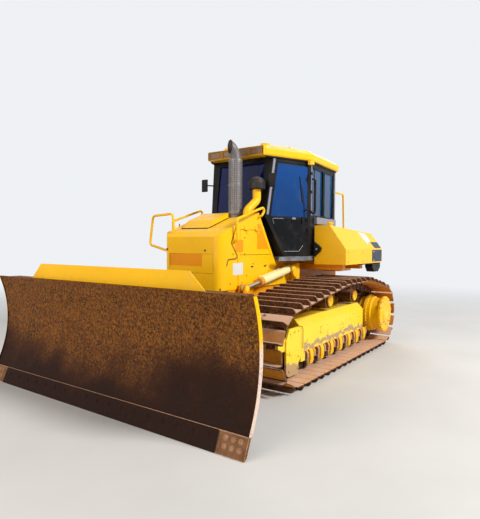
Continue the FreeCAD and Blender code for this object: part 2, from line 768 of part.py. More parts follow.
def build_cross_members():
    """Pivot shaft stubs and the equalizer bar that join the tracks to the main frame."""
    stubs = []
    half_hull = d.hull_wide / 2
    for side in (-1, 1):
        low, high = flipped(side, half_hull, half_gauge - d.beam_wide / 2)
        stubs.append(rod("pivot_stub", "y", (d.stub_x, d.stub_z), low, high, d.stub_radius))
    node("pivot_shaft", together("pivot_shaft", stubs))
    gap = d.running_gap
    end = half_gauge - d.beam_wide / 2 + 78
    seat, low = d.beam_high + gap, d.bar_low
    high = low + d.bar_tall
    foot = [(-end, seat), (-end + 70, seat), (-end + 110, low), (end - 110, low),
            (end - 70, seat), (end, seat), (end, high), (-end, high)]
    node("equalizer_bar", prism("equalizer_bar", "YZ", foot, d.bar_front_x - d.bar_long,
                                d.bar_front_x))


# Main frame and drawbar

def build_main_frame():
    half = d.hull_wide / 2
    side = [(d.hull_front_x, d.hull_high), (d.hull_front_x, d.hull_high - 130),
            (d.hull_chin_x, d.hull_low), (d.hull_rear_x + 150, d.hull_low),
            (d.hull_rear_x, d.hull_low + 150), (d.hull_rear_x, d.hull_high)]
    hull = prism("hull", "XZ", side, -half, half)
    gap = d.running_gap
    tunnel = block("tunnel", (d.bar_front_x - d.bar_long - gap, d.bar_front_x + gap),
                   (-half - 50, half + 50), (d.bar_low - gap, d.bar_low + d.bar_tall + gap))
    trunnions = []
    for turn in (-1, 1):
        low, high = flipped(turn, half - 20, d.arm_inner_y + d.arm_wide)
        trunnions.append(rod("trunnion", "y", (d.lift_pivot_x, d.lift_pivot_z), low, high,
                             d.lift_pin_radius))
        low, high = flipped(turn, half - 20, d.arm_inner_y - 6)
        trunnions.append(rod("trunnion_boss", "y", (d.lift_pivot_x, d.lift_pivot_z), low, high,
                             d.lift_boss_radius))
    bored = cut("hull_bored", hull, [tunnel])
    pad = block("rear_pad", (d.hull_rear_x - d.rear_pad_thick, d.hull_rear_x + 5),
                (-d.rear_pad_half, d.rear_pad_half), (d.rear_pad_low, d.rear_pad_high))
    case = block("cab_seat", (d.housing_front_x + 5, d.hood_heel_x - 20),
                 (-d.base_half, d.base_half), (d.hull_high - 10, d.cab_floor_z - d.platform_thick))
    seat = block("housing_seat", (d.hull_rear_x, d.housing_front_x + 10), (-d.base_half, d.base_half),
                 (d.hull_high - 10, d.housing_low))
    node("main_frame", fuse("main_frame", [bored, pad, case, seat] + trunnions))


def build_drawbar():
    low = d.drawbar_z - d.drawbar_thick / 2
    high = d.drawbar_z + d.drawbar_thick / 2
    root = d.hull_rear_x
    outline = [(root, -d.drawbar_half - 120), (root - 60, -d.drawbar_half - 120),
               (root - 140, -d.drawbar_half), (d.drawbar_rear_x, -d.drawbar_half),
               (d.drawbar_rear_x, d.drawbar_half), (root - 140, d.drawbar_half),
               (root - 60, d.drawbar_half + 120), (root, d.drawbar_half + 120)]
    plate = prism("drawbar_plate", "XY", outline, low, high)
    hole = rod("drawbar_hole", "z", (d.drawbar_rear_x + 90, 0), low - 10, high + 10,
               d.drawbar_pin_radius)
    node("drawbar", cut("drawbar", plate, [hole]))


# Blade linkage

angle_z = d.ball_z + d.arm_tall / 2 + 85

def build_c_frame():
    """Push arms inside the tracks, joined by a nose with the blade's pivot."""
    inner, outer = d.arm_inner_y, d.arm_inner_y + d.arm_wide
    half_tall = d.arm_tall / 2
    pieces = []
    hollows = []
    side = [(d.lift_pivot_x, d.lift_pivot_z - half_tall), (d.nose_start_x + 150, d.ball_z - half_tall),
            (d.nose_start_x + 150, d.ball_z + half_tall), (d.lift_pivot_x, d.lift_pivot_z + half_tall)]
    for turn in (-1, 1):
        low, high = flipped(turn, inner, outer)
        pieces.append(prism("arm", "XZ", side, low, high))
        pieces.append(rod("arm_boss", "y", (d.lift_pivot_x, d.lift_pivot_z), low, high,
                          d.lift_boss_radius))
        hollows.append(rod("arm_bore", "y", (d.lift_pivot_x, d.lift_pivot_z), low - 5, high + 5,
                           d.lift_pin_radius + 0.05))
        for near in (0, d.arm_wide - d.ear_thick):
            low, high = flipped(turn, inner + near, inner + near + d.ear_thick)
            ear = [(d.eye_x - 190, d.ball_z + 60), (d.eye_x + 190, d.ball_z + 60),
                   (d.eye_x + d.ear_round, d.eye_z), (d.eye_x - d.ear_round, d.eye_z)]
            pieces.append(prism("ear", "XZ", ear, low, high))
            pieces.append(rod("ear_top", "y", (d.eye_x, d.eye_z), low, high, d.ear_round))
        hollows.append(rod("ear_bore", "y", (d.eye_x, d.eye_z), -1 * outer - 5, outer + 5,
                           d.lift_eye_pin + 0.05))
    nose = [(d.nose_start_x, outer), (d.nose_start_x + 180, outer), (d.ball_x - 95, 140),
            (d.ball_x - 95, -140), (d.nose_start_x + 180, -outer), (d.nose_start_x, -outer),
            (d.nose_start_x, -inner), (d.nose_start_x + 100, -inner), (d.ball_x - 320, -100),
            (d.ball_x - 320, 100), (d.nose_start_x + 100, inner), (d.nose_start_x, inner)]
    pieces.append(prism("nose", "XY", nose, d.ball_z - half_tall, d.ball_z + half_tall))
    for low, high in ((d.ball_z - half_tall, d.ball_z - 40), (d.ball_z + 40, d.ball_z + half_tall)):
        pieces.append(block("lug", (d.ball_x - 100, d.ball_x), (-90, 90), (low, high)))
        pieces.append(rod("lug_end", "z", (d.ball_x, 0), low, high, 90))
    hollows.append(rod("lug_bore", "z", (d.ball_x, 0), d.ball_z - half_tall - 5,
                       d.ball_z + half_tall + 5, d.swivel_pin_radius + 0.05))
    arm_top = d.ball_z + half_tall
    x, y = d.angle_pivot_x, d.angle_pivot_y
    for turn in (-1, 1):
        low, high = flipped(turn, y - 50, y + 50)
        pieces.append(block("fork_back", (x - 105, x - 70), (low, high), (arm_top - 40, angle_z + 44)))
        for z_low, z_high in ((arm_top - 40, angle_z - 22), (angle_z + 22, angle_z + 44)):
            pieces.append(block("fork_leaf", (x - 80, x + 40), (low, high), (z_low, z_high)))
        pieces.append(rod("fork_pin", "z", (x, turn * y), arm_top - 40, angle_z + 44, 22))
    body = fuse("c_frame_body", pieces)
    node("c_frame", cut("c_frame", body, hollows))


def build_blade_yoke():
    """Cross of an upright pin and a fore-and-aft pin that carries the blade."""
    upright = rod("yoke_pin", "z", (d.ball_x, 0), d.ball_z - d.arm_tall / 2, d.ball_z + d.arm_tall / 2,
                  d.swivel_pin_radius)
    knuckle = rod("yoke_knuckle", "z", (d.ball_x, 0), d.ball_z - 39.7, d.ball_z + 39.7, 85)
    neck = block("yoke_neck", (d.ball_x, d.ball_x + 140), (-70, 70), (d.ball_z - 39.7, d.ball_z + 39.7))
    face, back = d.yoke_face_x, d.yoke_face_x - d.yoke_thick
    mast = [(-190, d.ball_z - 80), (190, d.ball_z - 80), (190, d.ball_z + 150),
            (d.tilt_pivot_y + 70, d.ball_z + d.tilt_rise + 50),
            (d.tilt_pivot_y - 70, d.ball_z + d.tilt_rise + 50), (-190, d.ball_z + 150)]
    plate = prism("yoke_plate", "YZ", mast, back, face)
    half_eye = d.angle_eye_wide / 2
    leaf = d.yoke_leaf
    reach = d.angle_eye_y + 60
    beam = block("yoke_beam", (back, face), (-reach, reach),
                 (angle_z - half_eye - 8 - leaf, angle_z + half_eye + 8 + leaf))
    pieces = [upright, knuckle, neck, plate, beam]
    pieces.append(rod("yoke_pivot", "x", (0, d.ball_z), face - 5, face + 115, d.yoke_pin_radius))
    pieces.append(rod("tilt_pin", "x", (d.tilt_pivot_y, d.ball_z + d.tilt_rise), face - 5,
                      d.tilt_x + d.tilt_eye_wide / 2 + 4, d.tilt_pin))
    for turn in (-1, 1):
        y = turn * d.angle_eye_y
        for low in (angle_z - half_eye - 8 - leaf, angle_z + half_eye + 8):
            pieces.append(block("yoke_leaf", (d.angle_eye_x - 35, back), (y - 50, y + 50),
                                (low, low + leaf)))
    node("blade_yoke", fuse("blade_yoke", pieces))


def arc_through(start, middle, end):
    return Part.Arc(Vector(*start), Vector(*middle), Vector(*end)).toShape()


def blade_levels():
    """Front face of the moldboard: foot, deepest point and top."""
    foot = (d.edge_x.value - d.edge_lean.value - d.edge_step.value, d.edge_tall.value)
    top = (d.blade_top_x.value, d.blade_tall.value)
    middle = ((foot[0] + top[0]) / 2 - d.moldboard_hollow.value, (foot[1] + top[1]) / 2)
    return foot, middle, top


def build_blade():
    """Curved moldboard with box beams, ribs and pivot lugs behind it."""
    foot, middle, top = blade_levels()
    thick = d.moldboard_thick.value
    half = d.blade_wide.value / 2
    front = arc_through((foot[0], -half, foot[1]), (middle[0], -half, middle[1]),
                        (top[0], -half, top[1]))
    back = arc_through((top[0] - thick, -half, top[1]), (middle[0] - thick, -half, middle[1]),
                       (foot[0] - thick, -half, foot[1]))
    cap = Part.LineSegment(front.lastVertex().Point, back.firstVertex().Point).toShape()
    heel = Part.LineSegment(back.lastVertex().Point, front.firstVertex().Point).toShape()
    sheet_face = Part.Face(Part.Wire([front, cap, back, heel]))
    pieces = [sheet_face.extrude(Vector(0, 2 * half, 0))]
    back_x = middle[0] - thick
    low_beam = [(foot[0] - thick - 2, foot[1] + 5), (foot[0] + 30, 360), (back_x - 90, 340),
                (back_x - 90, 170), (foot[0] - 70, 120)]
    high_beam = [(top[0] - thick - 4, top[1] - 4), (top[0] - 190, top[1] - 4),
                 (back_x - 60, top[1] - 160), (back_x - 60, top[1] - 330), (top[0] + 30, top[1] - 330)]
    end = half - d.blade_end.value
    pieces.append(swept_y(low_beam, -end, end))
    pieces.append(swept_y(high_beam, -end, end))
    rib = [(foot[0] - thick - 6, 130), (back_x - 95, 165), (back_x - 95, 900), (top[0] - 195, top[1] - 6),
           (top[0] - thick - 2, top[1] - 6)]
    for y in (end - 12, 1400, 950, 480):
        for turn in (-1, 1):
            pieces.append(swept_y(rib, turn * y - 12, turn * y + 12))
    body = pieces[0].fuse(pieces[1:])
    hollow_face = Part.Face(Part.Wire([
        front, Part.LineSegment(front.lastVertex().Point, Vector(3600, -half, top[1])).toShape(),
        Part.LineSegment(Vector(3600, -half, top[1]), Vector(3600, -half, foot[1])).toShape(),
        Part.LineSegment(Vector(3600, -half, foot[1]), front.firstVertex().Point).toShape()]))
    body = body.cut(hollow_face.extrude(Vector(0, 2 * half, 0)))
    pivot_x = d.yoke_face_x.value + 5
    socket = Part.makeBox(back_x + 60 - pivot_x, 240, 300,
                          Vector(pivot_x, -120, d.ball_z.value - 120))
    socket = socket.cut(hollow_face.extrude(Vector(0, 2 * half, 0)))
    bore = Part.makeCylinder(d.yoke_pin_radius.value + 0.05, 115,
                             Vector(pivot_x - 1, 0, d.ball_z.value), Vector(1, 0, 0))
    tilt_face = d.tilt_x.value + d.tilt_rod_radius.value + 5
    tilt_z = d.ball_z.value + d.tilt_rise.value
    lug = Part.makeBox(back_x + 5 - tilt_face, 110, 110,
                       Vector(tilt_face, d.tilt_eye_y.value - 55, tilt_z - 55))
    body = body.fuse([socket, lug]).cut(bore)
    node("blade", shaped("blade", body.removeSplitter()))


def build_cutting_edge():
    """Three centre edges and two corner bits along the foot of the moldboard."""
    low = d.edge_ground_gap.value
    foot = blade_levels()[0]
    thick = d.edge_thick.value
    tip = d.edge_x.value
    section = [(tip, low), (tip - d.edge_lean.value, d.edge_tall.value),
               (foot[0] - thick, d.edge_tall.value), (tip - thick - 14, low + 14)]
    half = d.blade_wide.value / 2
    split = half - d.end_bit_wide.value
    third = split * 2 / 3
    edges = [swept_y(section, -split + i * third + 1, -split + (i + 1) * third - 1)
             for i in range(3)]
    node("cutting_edges", shaped("cutting_edges", Part.makeCompound(edges)))
    bits = [swept_y(section, split + 1, half), swept_y(section, -half, -split - 1)]
    node("end_bits", shaped("end_bits", Part.makeCompound(bits)))


def build_spill_guard():
    """Raised plate on the moldboard's top edge, with sloped ends and gussets."""
    foot_z = d.blade_tall - 4
    low_half, high_half = d.guard_low_wide / 2, d.guard_high_wide / 2
    outline = [(-low_half, foot_z), (low_half, foot_z), (high_half, foot_z + d.guard_tall),
               (-high_half, foot_z + d.guard_tall)]
    x = d.blade_top_x - d.guard_setback
    plate = prism("guard_plate", "YZ", outline, x, x + d.guard_thick)
    gusset = [(x, foot_z), (x, foot_z + d.guard_tall - 40), (x - 80, foot_z)]
    pieces = [plate]
    for turn in (-1, 1):
        middle = turn * (high_half - 60)
        pieces.append(prism("gusset", "XZ", gusset, middle - 8, middle + 8))
    node("spill_guard", fuse("spill_guard", pieces))


def aimed_cylinder(start, end, near, far, radius):
    """Round bar on the line from start to end, between two distances from start."""
    line = (Vector(*end) - Vector(*start)).normalize()
    return Part.makeCylinder(radius, far - near, Vector(*start) + line * near, line)


def eye_ring(centre, axis, radius, width, bore):
    line = Vector(*axis)
    base = Vector(*centre) - line * (width / 2)
    return Part.makeCylinder(radius, width, base, line), Part.makeCylinder(bore, width + 2,
                                                                          base - line, line)


def cylinder_pair(pivot, eye, axis, barrel_radius, rod_radius, barrel_end, width, pin, out):
    """Barrel and rod of one cylinder, whose rod slides out by at most out from rest."""
    whole = (Vector(*eye) - Vector(*pivot)).Length
    ring, bore = eye_ring(pivot, axis, pin + 28, width, pin + 0.05)
    hollow = rod_radius + 0.3
    neck = aimed_cylinder(pivot, eye, pin, pin + 70, width / 2 - 1)
    tube_body = aimed_cylinder(pivot, eye, pin + 62, barrel_end, barrel_radius)
    inside = aimed_cylinder(pivot, eye, pin + 85, barrel_end + 5, hollow)
    barrel = tube_body.fuse([ring, neck]).cut(inside).cut(bore)
    ring, bore = eye_ring(eye, axis, pin + 26, width, pin + 0.05)
    stem = aimed_cylinder(pivot, eye, barrel_end - out - 30, whole - pin - 10, rod_radius)
    rod_shape = stem.fuse(ring).cut(bore)
    return barrel, rod_shape


def build_lift_cylinders():
    barrels, rods = [], []
    for turn in (-1, 1):
        y = turn * d.cylinder_y.value
        barrel, stem = cylinder_pair((d.barrel_pivot_x.value, y, d.barrel_pivot_z.value),
                                     (d.eye_x.value, y, d.eye_z.value), (0, 1, 0),
                                     d.barrel_radius.value, d.rod_radius.value,
                                     d.barrel_long.value, d.lift_eye_wide.value,
                                     d.lift_eye_pin.value, d.lift_extension.value)
        barrels.append(barrel)
        rods.append(stem)
    node("lift_barrels", shaped("lift_barrels", Part.makeCompound(barrels)))
    node("lift_rods", shaped("lift_rods", Part.makeCompound(rods)))


def build_angle_cylinders():
    """Two cylinders from the push arms to the yoke behind the blade."""
    for turn, side in ((1, "left"), (-1, "right")):
        barrel, stem = cylinder_pair((d.angle_pivot_x.value, turn * d.angle_pivot_y.value,
                                      angle_z.value),
                                     (d.angle_eye_x.value, turn * d.angle_eye_y.value,
                                      angle_z.value), (0, 0, 1), d.angle_barrel_radius.value,
                                     d.angle_rod_radius.value, d.angle_barrel_long.value,
                                     d.angle_eye_wide.value, d.angle_pin.value,
                                     d.angle_stroke.value)
        node("angle_barrel_" + side, shaped("angle_barrel_" + side, barrel))
        node("angle_rod_" + side, shaped("angle_rod_" + side, stem))


def build_tilt_cylinder():
    x = d.tilt_x.value
    z = d.ball_z.value + d.tilt_rise.value
    barrel, stem = cylinder_pair((x, d.tilt_pivot_y.value, z), (x, d.tilt_eye_y.value, z),
                                 (1, 0, 0), d.tilt_barrel_radius.value, d.tilt_rod_radius.value,
                                 d.tilt_barrel_long.value, d.tilt_eye_wide.value,
                                 d.tilt_pin.value, d.tilt_stroke.value)
    node("tilt_barrel", shaped("tilt_barrel", barrel))
    node("tilt_rod", shaped("tilt_rod", stem))


# Hood

def hood_outline(inset):
    """Side view of the hood, drawn in from its outer face by inset."""
    points = [(d.hood_front_x, d.hull_high), (d.hood_front_x, d.hood_front_z - 70),
              (d.hood_front_x - 80, d.hood_front_z), (d.hood_rear_x, d.hood_rear_z),
              (d.hood_heel_x, d.hood_heel_z), (d.hood_heel_x, d.hull_high)]
    return offset_outline([(x.value, z.value) for x, z in points], inset)


def offset_outline(points, inset):
    """Closed outline moved inward by inset."""
    wire = Part.Wire(Part.makePolygon([Vector(u, v, 0) for u, v in points + points[:1]]))
    if inset == 0:
        return points
    face = Part.Face(wire).makeOffset2D(-inset, 2)
    spots = [vertex.Point for vertex in face.OuterWire.OrderedVertexes]
    return [(spot.x, spot.y) for spot in spots]


def swept(plane, points, low, high):
    """Solid over an outline, from low to high along the plane's normal."""
    place = {"XZ": lambda u, v: (u, low, v), "YZ": lambda u, v: (low, u, v),
             "XY": lambda u, v: (u, v, low)}[plane]
    way = PLANES[plane][1]
    return Part.Face(polygon([place(u, v) for u, v in points])).extrude(way * (high - low))


def hood_solid(inset):
    half = d.hood_wide.value / 2 - inset
    solid = swept("XZ", hood_outline(inset), -half, half)
    low = d.hull_high.value
    corner = d.hood_corner.value - inset
    front = max(vertex.X for vertex in solid.Vertexes)
    edges = [edge for edge in solid.Edges
             if edge.BoundBox.XMin > front - 1 and edge.BoundBox.ZLength > 100
             and edge.BoundBox.YLength < 1]
    return solid.makeFillet(corner, edges)


def door_outline(inset):
    """Engine side door, parallel to the hood's rear edge."""
    slope = (d.hood_rear_x.value - d.hood_heel_x.value) / (d.hood_rear_z.value - d.hood_heel_z.value)
    low, high = d.side_door_low.value, d.side_door_high.value
    front = d.nose_split_x.value - 40

    def rear(z):
        return d.hood_heel_x.value + (z - d.hood_heel_z.value) * slope + 60
    return offset_outline([(front, low), (front, high), (rear(high), high), (rear(low), low)], inset)


def build_hood():
    """Hollow nose and rear hood, with side doors hung from their top edges."""
    half = d.hood_wide.value / 2
    wall = d.hood_wall.value
    low = d.hull_high.value
    inside = hood_solid(wall)
    lower = Part.makeBox(3000, 2 * half - 2 * wall, wall + 2, Vector(-1500, wall - half, low - 1))
    tail = swept("XZ", [(d.hood_heel_x.value - 5, low - 1), (d.hood_heel_x.value + 2 * wall, low - 1),
                        (d.hood_heel_x.value + 2 * wall, d.hood_heel_z.value),
                        (d.hood_rear_x.value + 20, d.hood_rear_z.value - wall - 12),
                        (d.hood_rear_x.value - 40, d.hood_rear_z.value - wall - 12),
                        (d.hood_heel_x.value - 5, d.hood_heel_z.value)], wall - half, half - wall)
    lower = lower.common(Part.makeBox(d.hood_front_x.value - wall - d.hood_heel_x.value, 2 * half,
                                      200, Vector(d.hood_heel_x.value, -half, low - 10)))
    shell = hood_solid(0).cut([inside, lower, tail])
    recess = Part.makeBox(20, 2 * d.recess_half.value, d.recess_high.value - d.recess_low.value,
                          Vector(d.hood_front_x.value - d.recess_deep.value, -d.recess_half.value,
                                 d.recess_low.value))
    shell = shell.cut(recess.makeFillet(8, [edge for edge in recess.Edges
                                            if edge.BoundBox.XLength > 1]))
    split = d.nose_split_x.value
    front = Part.makeBox(2000, 2000, 3000, Vector(split, -1000, 0))
    opening = swept("XZ", door_outline(0), -half - 10, half + 10)
    node("hood_nose", shaped("hood_nose", shell.common(front)))
    rear = shell.cut([front, opening])
    axis = (0, half + d.hinge_offset.value, d.side_door_high.value - d.door_gap.value / 2)
    moving, fixed = hinge(axis, (1, 0, 0), (0, 0, -1), (0, -1, 0), (300, 560))
    mirror = [piece.mirror(Vector(), Vector(0, 1, 0)) for piece in fixed]
    node("hood_rear", shaped("hood_rear", rear.fuse(fixed + mirror)))
    leaf = swept("XZ", door_outline(d.door_gap.value), half - wall, half)
    left = shaped("engine_door_left", leaf.fuse(moving))
    node("engine_door_left", left)
    node("engine_door_right", mirrored("engine_door_right", left))


def hood_top_z(x):
    """Height of the hood's sloping top."""
    run = d.hood_rear_x.value - d.hood_front_x.value + 80
    rise = d.hood_rear_z.value - d.hood_front_z.value
    return d.hood_front_z.value + (x - d.hood_front_x.value + 80) / run * rise


def build_hood_top():
    """Raised cover along the middle of the hood."""
    front, rear = d.hump_front_x.value, d.hump_rear_x.value
    outline = [(front, hood_top_z(front)), (front - 130, hood_top_z(front - 130) + 70),
               (rear, hood_top_z(rear) + 75), (rear, hood_top_z(rear))]
    solid = swept("XZ", outline, d.hump_low_y.value, d.hump_high_y.value)
    node("hood_top", shaped("hood_top", solid))


def build_engine():
    node("engine_block", block("engine_block", (d.engine_rear_x, d.engine_front_x),
                               (-d.engine_half, d.engine_half), (d.hull_high, d.engine_high)))


def build_exhaust():
    """Heat shield, and a hollow tip that bends away from the cab to an upright mouth."""
    x, y = d.stack_x.value, d.stack_y.value
    foot = hood_top_z(x + d.stack_radius.value) - 1
    shield = Part.makeCylinder(d.stack_radius.value, d.stack_shield_top.value - foot,
                               Vector(x, y, foot))
    roof = swept("XZ", hood_outline(0), -600, 600)
    shield = shield.cut(roof)
    start, bend = d.stack_shield_top.value, d.stack_bend.value
    aim = math.radians(d.stack_aim.value)
    turn = Vector(x, y, d.stack_turn_z.value)
    end = turn + Vector(math.cos(aim), math.sin(aim), math.tan(math.radians(30))) * bend
    line = [(x, y, start - 60), tuple(turn), tuple(end)]
    pipe = tube(line, d.stack_pipe_radius.value, bend)
    bore = tube(line, d.stack_pipe_radius.value - d.stack_pipe_wall.value, bend)
    keep = Part.makeBox(2 * bend, 2 * bend, 2 * bend,
                        Vector(x + d.stack_mouth.value - 2 * bend, y - bend, start - 5))
    keep.rotate(Vector(x, y, 0), Vector(0, 0, 1), d.stack_aim.value)
    node("exhaust", shaped("exhaust", shield.fuse(pipe.cut(bore).common(keep))))


def build_intake():
    """Domed cap on its bent pipe."""
    x, y, z = d.cleaner_x.value, d.cleaner_y.value, d.cleaner_z.value
    radius, tall = d.cleaner_radius.value, d.cleaner_tall.value
    spots = [Vector(0, 0, 0), Vector(radius - 12, 0, 0), Vector(radius, 0, 14),
             Vector(radius, 0, tall * 0.5), Vector(radius * 0.82, 0, tall * 0.82),
             Vector(radius * 0.4, 0, tall), Vector(0, 0, tall)]
    face = Part.Face(Part.Wire(Part.makePolygon(spots + spots[:1])))
    cap = face.revolve(Vector(), Vector(0, 0, 1), 360)
    cap.translate(Vector(x, y, z))
    node("intake_cap", shaped("intake_cap", cap))
    foot = x + 190
    roof = swept("XZ", hood_outline(0), -600, 600)
    pipe = tube([(foot, y - 30, hood_top_z(foot) - 60), (foot, y - 30, hood_top_z(foot) + 70),
                 (x, y, z - 150), (x, y, z)], d.intake_radius.value, 70).cut(roof)
    node("intake_pipe", shaped("intake_pipe", pipe))


# Cab

def cab_solid(inset):
    """Six-sided cab whose front leans back above and below its kink."""
    side = [(d.cab_front_x.value - 120, d.cab_top_z.value),
            (d.cab_front_x.value, d.cab_kink_z.value),
            (d.cab_front_x.value - 310, d.cab_floor_z.value),
            (d.cab_rear_x.value + 40, d.cab_floor_z.value),
            (d.cab_rear_x.value, d.cab_top_z.value)]
    front, waist, rear = d.cab_front_x.value, d.cab_waist_x.value, d.cab_rear_x.value
    plan = [(front + 5, -d.cab_front_half.value), (front + 5, d.cab_front_half.value),
            (waist, d.cab_waist_half.value), (rear - 5, d.cab_rear_half.value),
            (rear - 5, -d.cab_rear_half.value), (waist, -d.cab_waist_half.value)]
    low, high = d.cab_floor_z.value - 50, d.cab_top_z.value + 50
    return swept("XZ", offset_outline(side, inset), -1000, 1000).common(
        swept("XY", offset_outline(plan, inset), low, high))


def cab_layer(near, far):
    """Skin of the cab between two depths."""
    return cab_solid(near).cut(cab_solid(far))


def door_opening(inset):
    waist = d.cab_waist_x.value
    front, floor = d.cab_front_x.value, d.cab_floor_z.value
    top = d.window_high.value + 10
    points = [(front - 185, top), (front - 72, d.cab_kink_z.value), (front - 345, floor + 55),
              (waist + 160, floor + 55), (waist + 45, floor + 210), (waist + 45, top)]
    return offset_outline(points, inset)


def cab_door_hinges():
    """Hinges on the outer face of the left waist pillar."""
    front = Vector(d.cab_front_x.value + 5, d.cab_front_half.value, 0)
    waist = Vector(d.cab_waist_x.value, d.cab_waist_half.value, 0)
    way = (front - waist).normalize()
    outward = Vector(-way.y, way.x, 0)
    edge = d.cab_waist_x.value + 45 + d.door_gap.value / 2
    spot = waist + way * ((edge - waist.x) / way.x) + outward * d.hinge_offset.value
    starts = (d.cab_floor_z.value + 320, d.window_high.value - 235)
    return hinge(spot, (0, 0, 1), way, -outward, starts)


def window_outlines():
    """Panes of the fixed cab: plane, outline, and reach along the plane's normal."""
    waist, rear = d.cab_waist_x.value, d.cab_rear_x.value
    split = (waist + rear) / 2
    low, high, edge = d.window_low.value, d.window_high.value, d.window_edge.value
    front_half, rear_half = d.cab_front_half.value - edge, d.cab_rear_half.value - edge - 30
    reach = d.cab_waist_half.value + 100

    def oblong(one, two, foot, top):
        return [(one, foot), (two, foot), (two, top), (one, top)]
    return [
        ("YZ", oblong(-front_half, front_half, low + 10, high), d.cab_front_x.value - 210,
         d.cab_front_x.value + edge),
        ("YZ", oblong(-rear_half, rear_half, low - 40, high - 15), rear - 50, rear + 110),
        ("XZ", oblong(waist - 60, split + 30, low, high), -reach, reach),
        ("XZ", [(split - 30, low), (rear + 110, low), (rear + 90, high), (split - 30, high)],
         -reach, reach),
    ]


def door_panes():
    """Upper and lower panes of a cab door."""
    front, waist, floor = d.cab_front_x.value, d.cab_waist_x.value, d.cab_floor_z.value
    low, top, rail = d.window_low.value, d.window_high.value - 55, d.window_low.value - 80
    return [
        [(front - 250, top), (front - 150, low), (waist + 115, low), (waist + 115, top)],
        [(front - 165, rail), (front - 380, floor + 130), (waist + 215, floor + 130),
         (waist + 115, floor + 260), (waist + 115, rail)],
    ]


def cab_fittings():
    """Grab handle behind each door, and a mirror on its arm at each front corner."""
    waist, half = d.cab_waist_x.value, d.cab_waist_half.value
    low, high = d.cab_kink_z.value + 90, d.cab_top_z.value - 265
    x, out = waist - 45, half + 62
    grip = tube([(x, half - 10, high), (x, out, high), (x, out, low), (x, half - 10, low)],
                d.handle_tube.value, 40)
    front, side = d.cab_front_x.value, d.cab_front_half.value
    level = d.cab_kink_z.value + 510
    arm = tube([(front - 90, side - 10, level), (front + 20, side + 60, level),
                (front + 20, side + 120, level)], d.handle_tube.value - 3, 20)
    glass = Part.makeBox(24, d.mirror_wide.value, d.mirror_tall.value,
                         Vector(front + 12, side + 65, level - d.mirror_tall.value / 2))
    glass = glass.makeFillet(10, glass.Edges)
    left = [grip.cut(cab_solid(5)), arm.cut(cab_solid(5)).fuse(glass)]
    return left + [piece.mirror(Vector(), Vector(0, 1, 0)) for piece in left]


def build_cab():
    fit = d.running_gap.value
    skin = cab_layer(0, d.cab_wall.value)
    openings = [swept(plane, outline, low, high) for plane, outline, low, high in window_outlines()]
    doorway = swept("XZ", door_opening(0), -1000, 1000)
    moving, fixed = cab_door_hinges()
    mirror = [piece.mirror(Vector(), Vector(0, 1, 0)) for piece in fixed]
    frame = skin.cut(openings + [doorway]).fuse(fixed + mirror + cab_fittings())
    node("cab_frame", shaped("cab_frame", frame))
    glazing = cab_layer(d.glass_inset.value, d.glass_inset.value + d.glass_thick.value)
    panes = []
    for plane, outline, low, high in window_outlines():
        pane = glazing.common(swept(plane, offset_outline(outline, fit), low, high))
        panes.extend(pane.Solids)
    node("cab_glass", shaped("cab_glass", Part.makeCompound(panes)))
    leaf = skin.common(swept("XZ", door_opening(d.door_gap.value), 200, 1000))
    lights = [swept("XZ", outline, 200, 1000) for outline in door_panes()]
    left = shaped("cab_door_left", leaf.cut(lights).fuse(moving))
    node("cab_door_left", left)
    node("cab_door_right", mirrored("cab_door_right", left))
    panes = []
    for outline in door_panes():
        pane = glazing.common(swept("XZ", offset_outline(outline, fit), 200, 1000))
        panes.extend(pane.Solids)
    left = shaped("door_glass_left", Part.makeCompound(panes))
    node("door_glass_left", left)
    node("door_glass_right", mirrored("door_glass_right", left))


def build_roof():
    """Six-sided roof with sloped edges and two round covers."""
    over = d.roof_overhang.value
    front, waist, rear = d.cab_front_x.value, d.cab_waist_x.value, d.cab_rear_x.value
    plan = [(front + 20, -500), (front + 20, 500), (waist, d.cab_waist_half.value + over),
            (rear - over, d.cab_rear_half.value + over),
            (rear - over, -d.cab_rear_half.value - over), (waist, -d.cab_waist_half.value - over)]
    low = d.cab_top_z.value
    brim = low + d.roof_tall.value * 0.55
    top = low + d.roof_tall.value

    def level(inset, z):
        return polygon([(x, y, z) for x, y in offset_outline(plan, inset)])
    lower = Part.makeLoft([level(12, low), level(0, low + 20)], True, True)
    wall = Part.makeLoft([level(0, low + 20), level(0, brim)], True, True)
    crown = Part.makeLoft([level(0, brim), level(110, top)], True, True)
    roof = lower.fuse([wall, crown])
    covers = [Part.makeCylinder(70, top + 45 - brim, Vector(front - 230, turn * 330, brim))
              for turn in (-1, 1)]
    node("cab_roof", shaped("cab_roof", roof.fuse(covers).removeSplitter()))
    lamps = []
    housing = Part.makeBox(58, 2 * d.lamp_bar_half.value, 120,
                           Vector(front + 20, -d.lamp_bar_half.value, low + 4))
    lenses = [Part.makeBox(12, 180, 84, Vector(front + 70, y - 90, low + 22))
              for y in (-360, -120, 120, 360)]
    lamps.append(housing.cut(lenses))
    for y in (-500, 500):
        lamps.append(Part.makeBox(50, 150, 90, Vector(rear - over - 50, y - 75, low + 12)))
    node("work_lamps", shaped("work_lamps", Part.makeCompound(lamps)))


tank_inner = d.cab_waist_half + d.tank_clearance
tank_outer = tank_inner + d.tank_wide


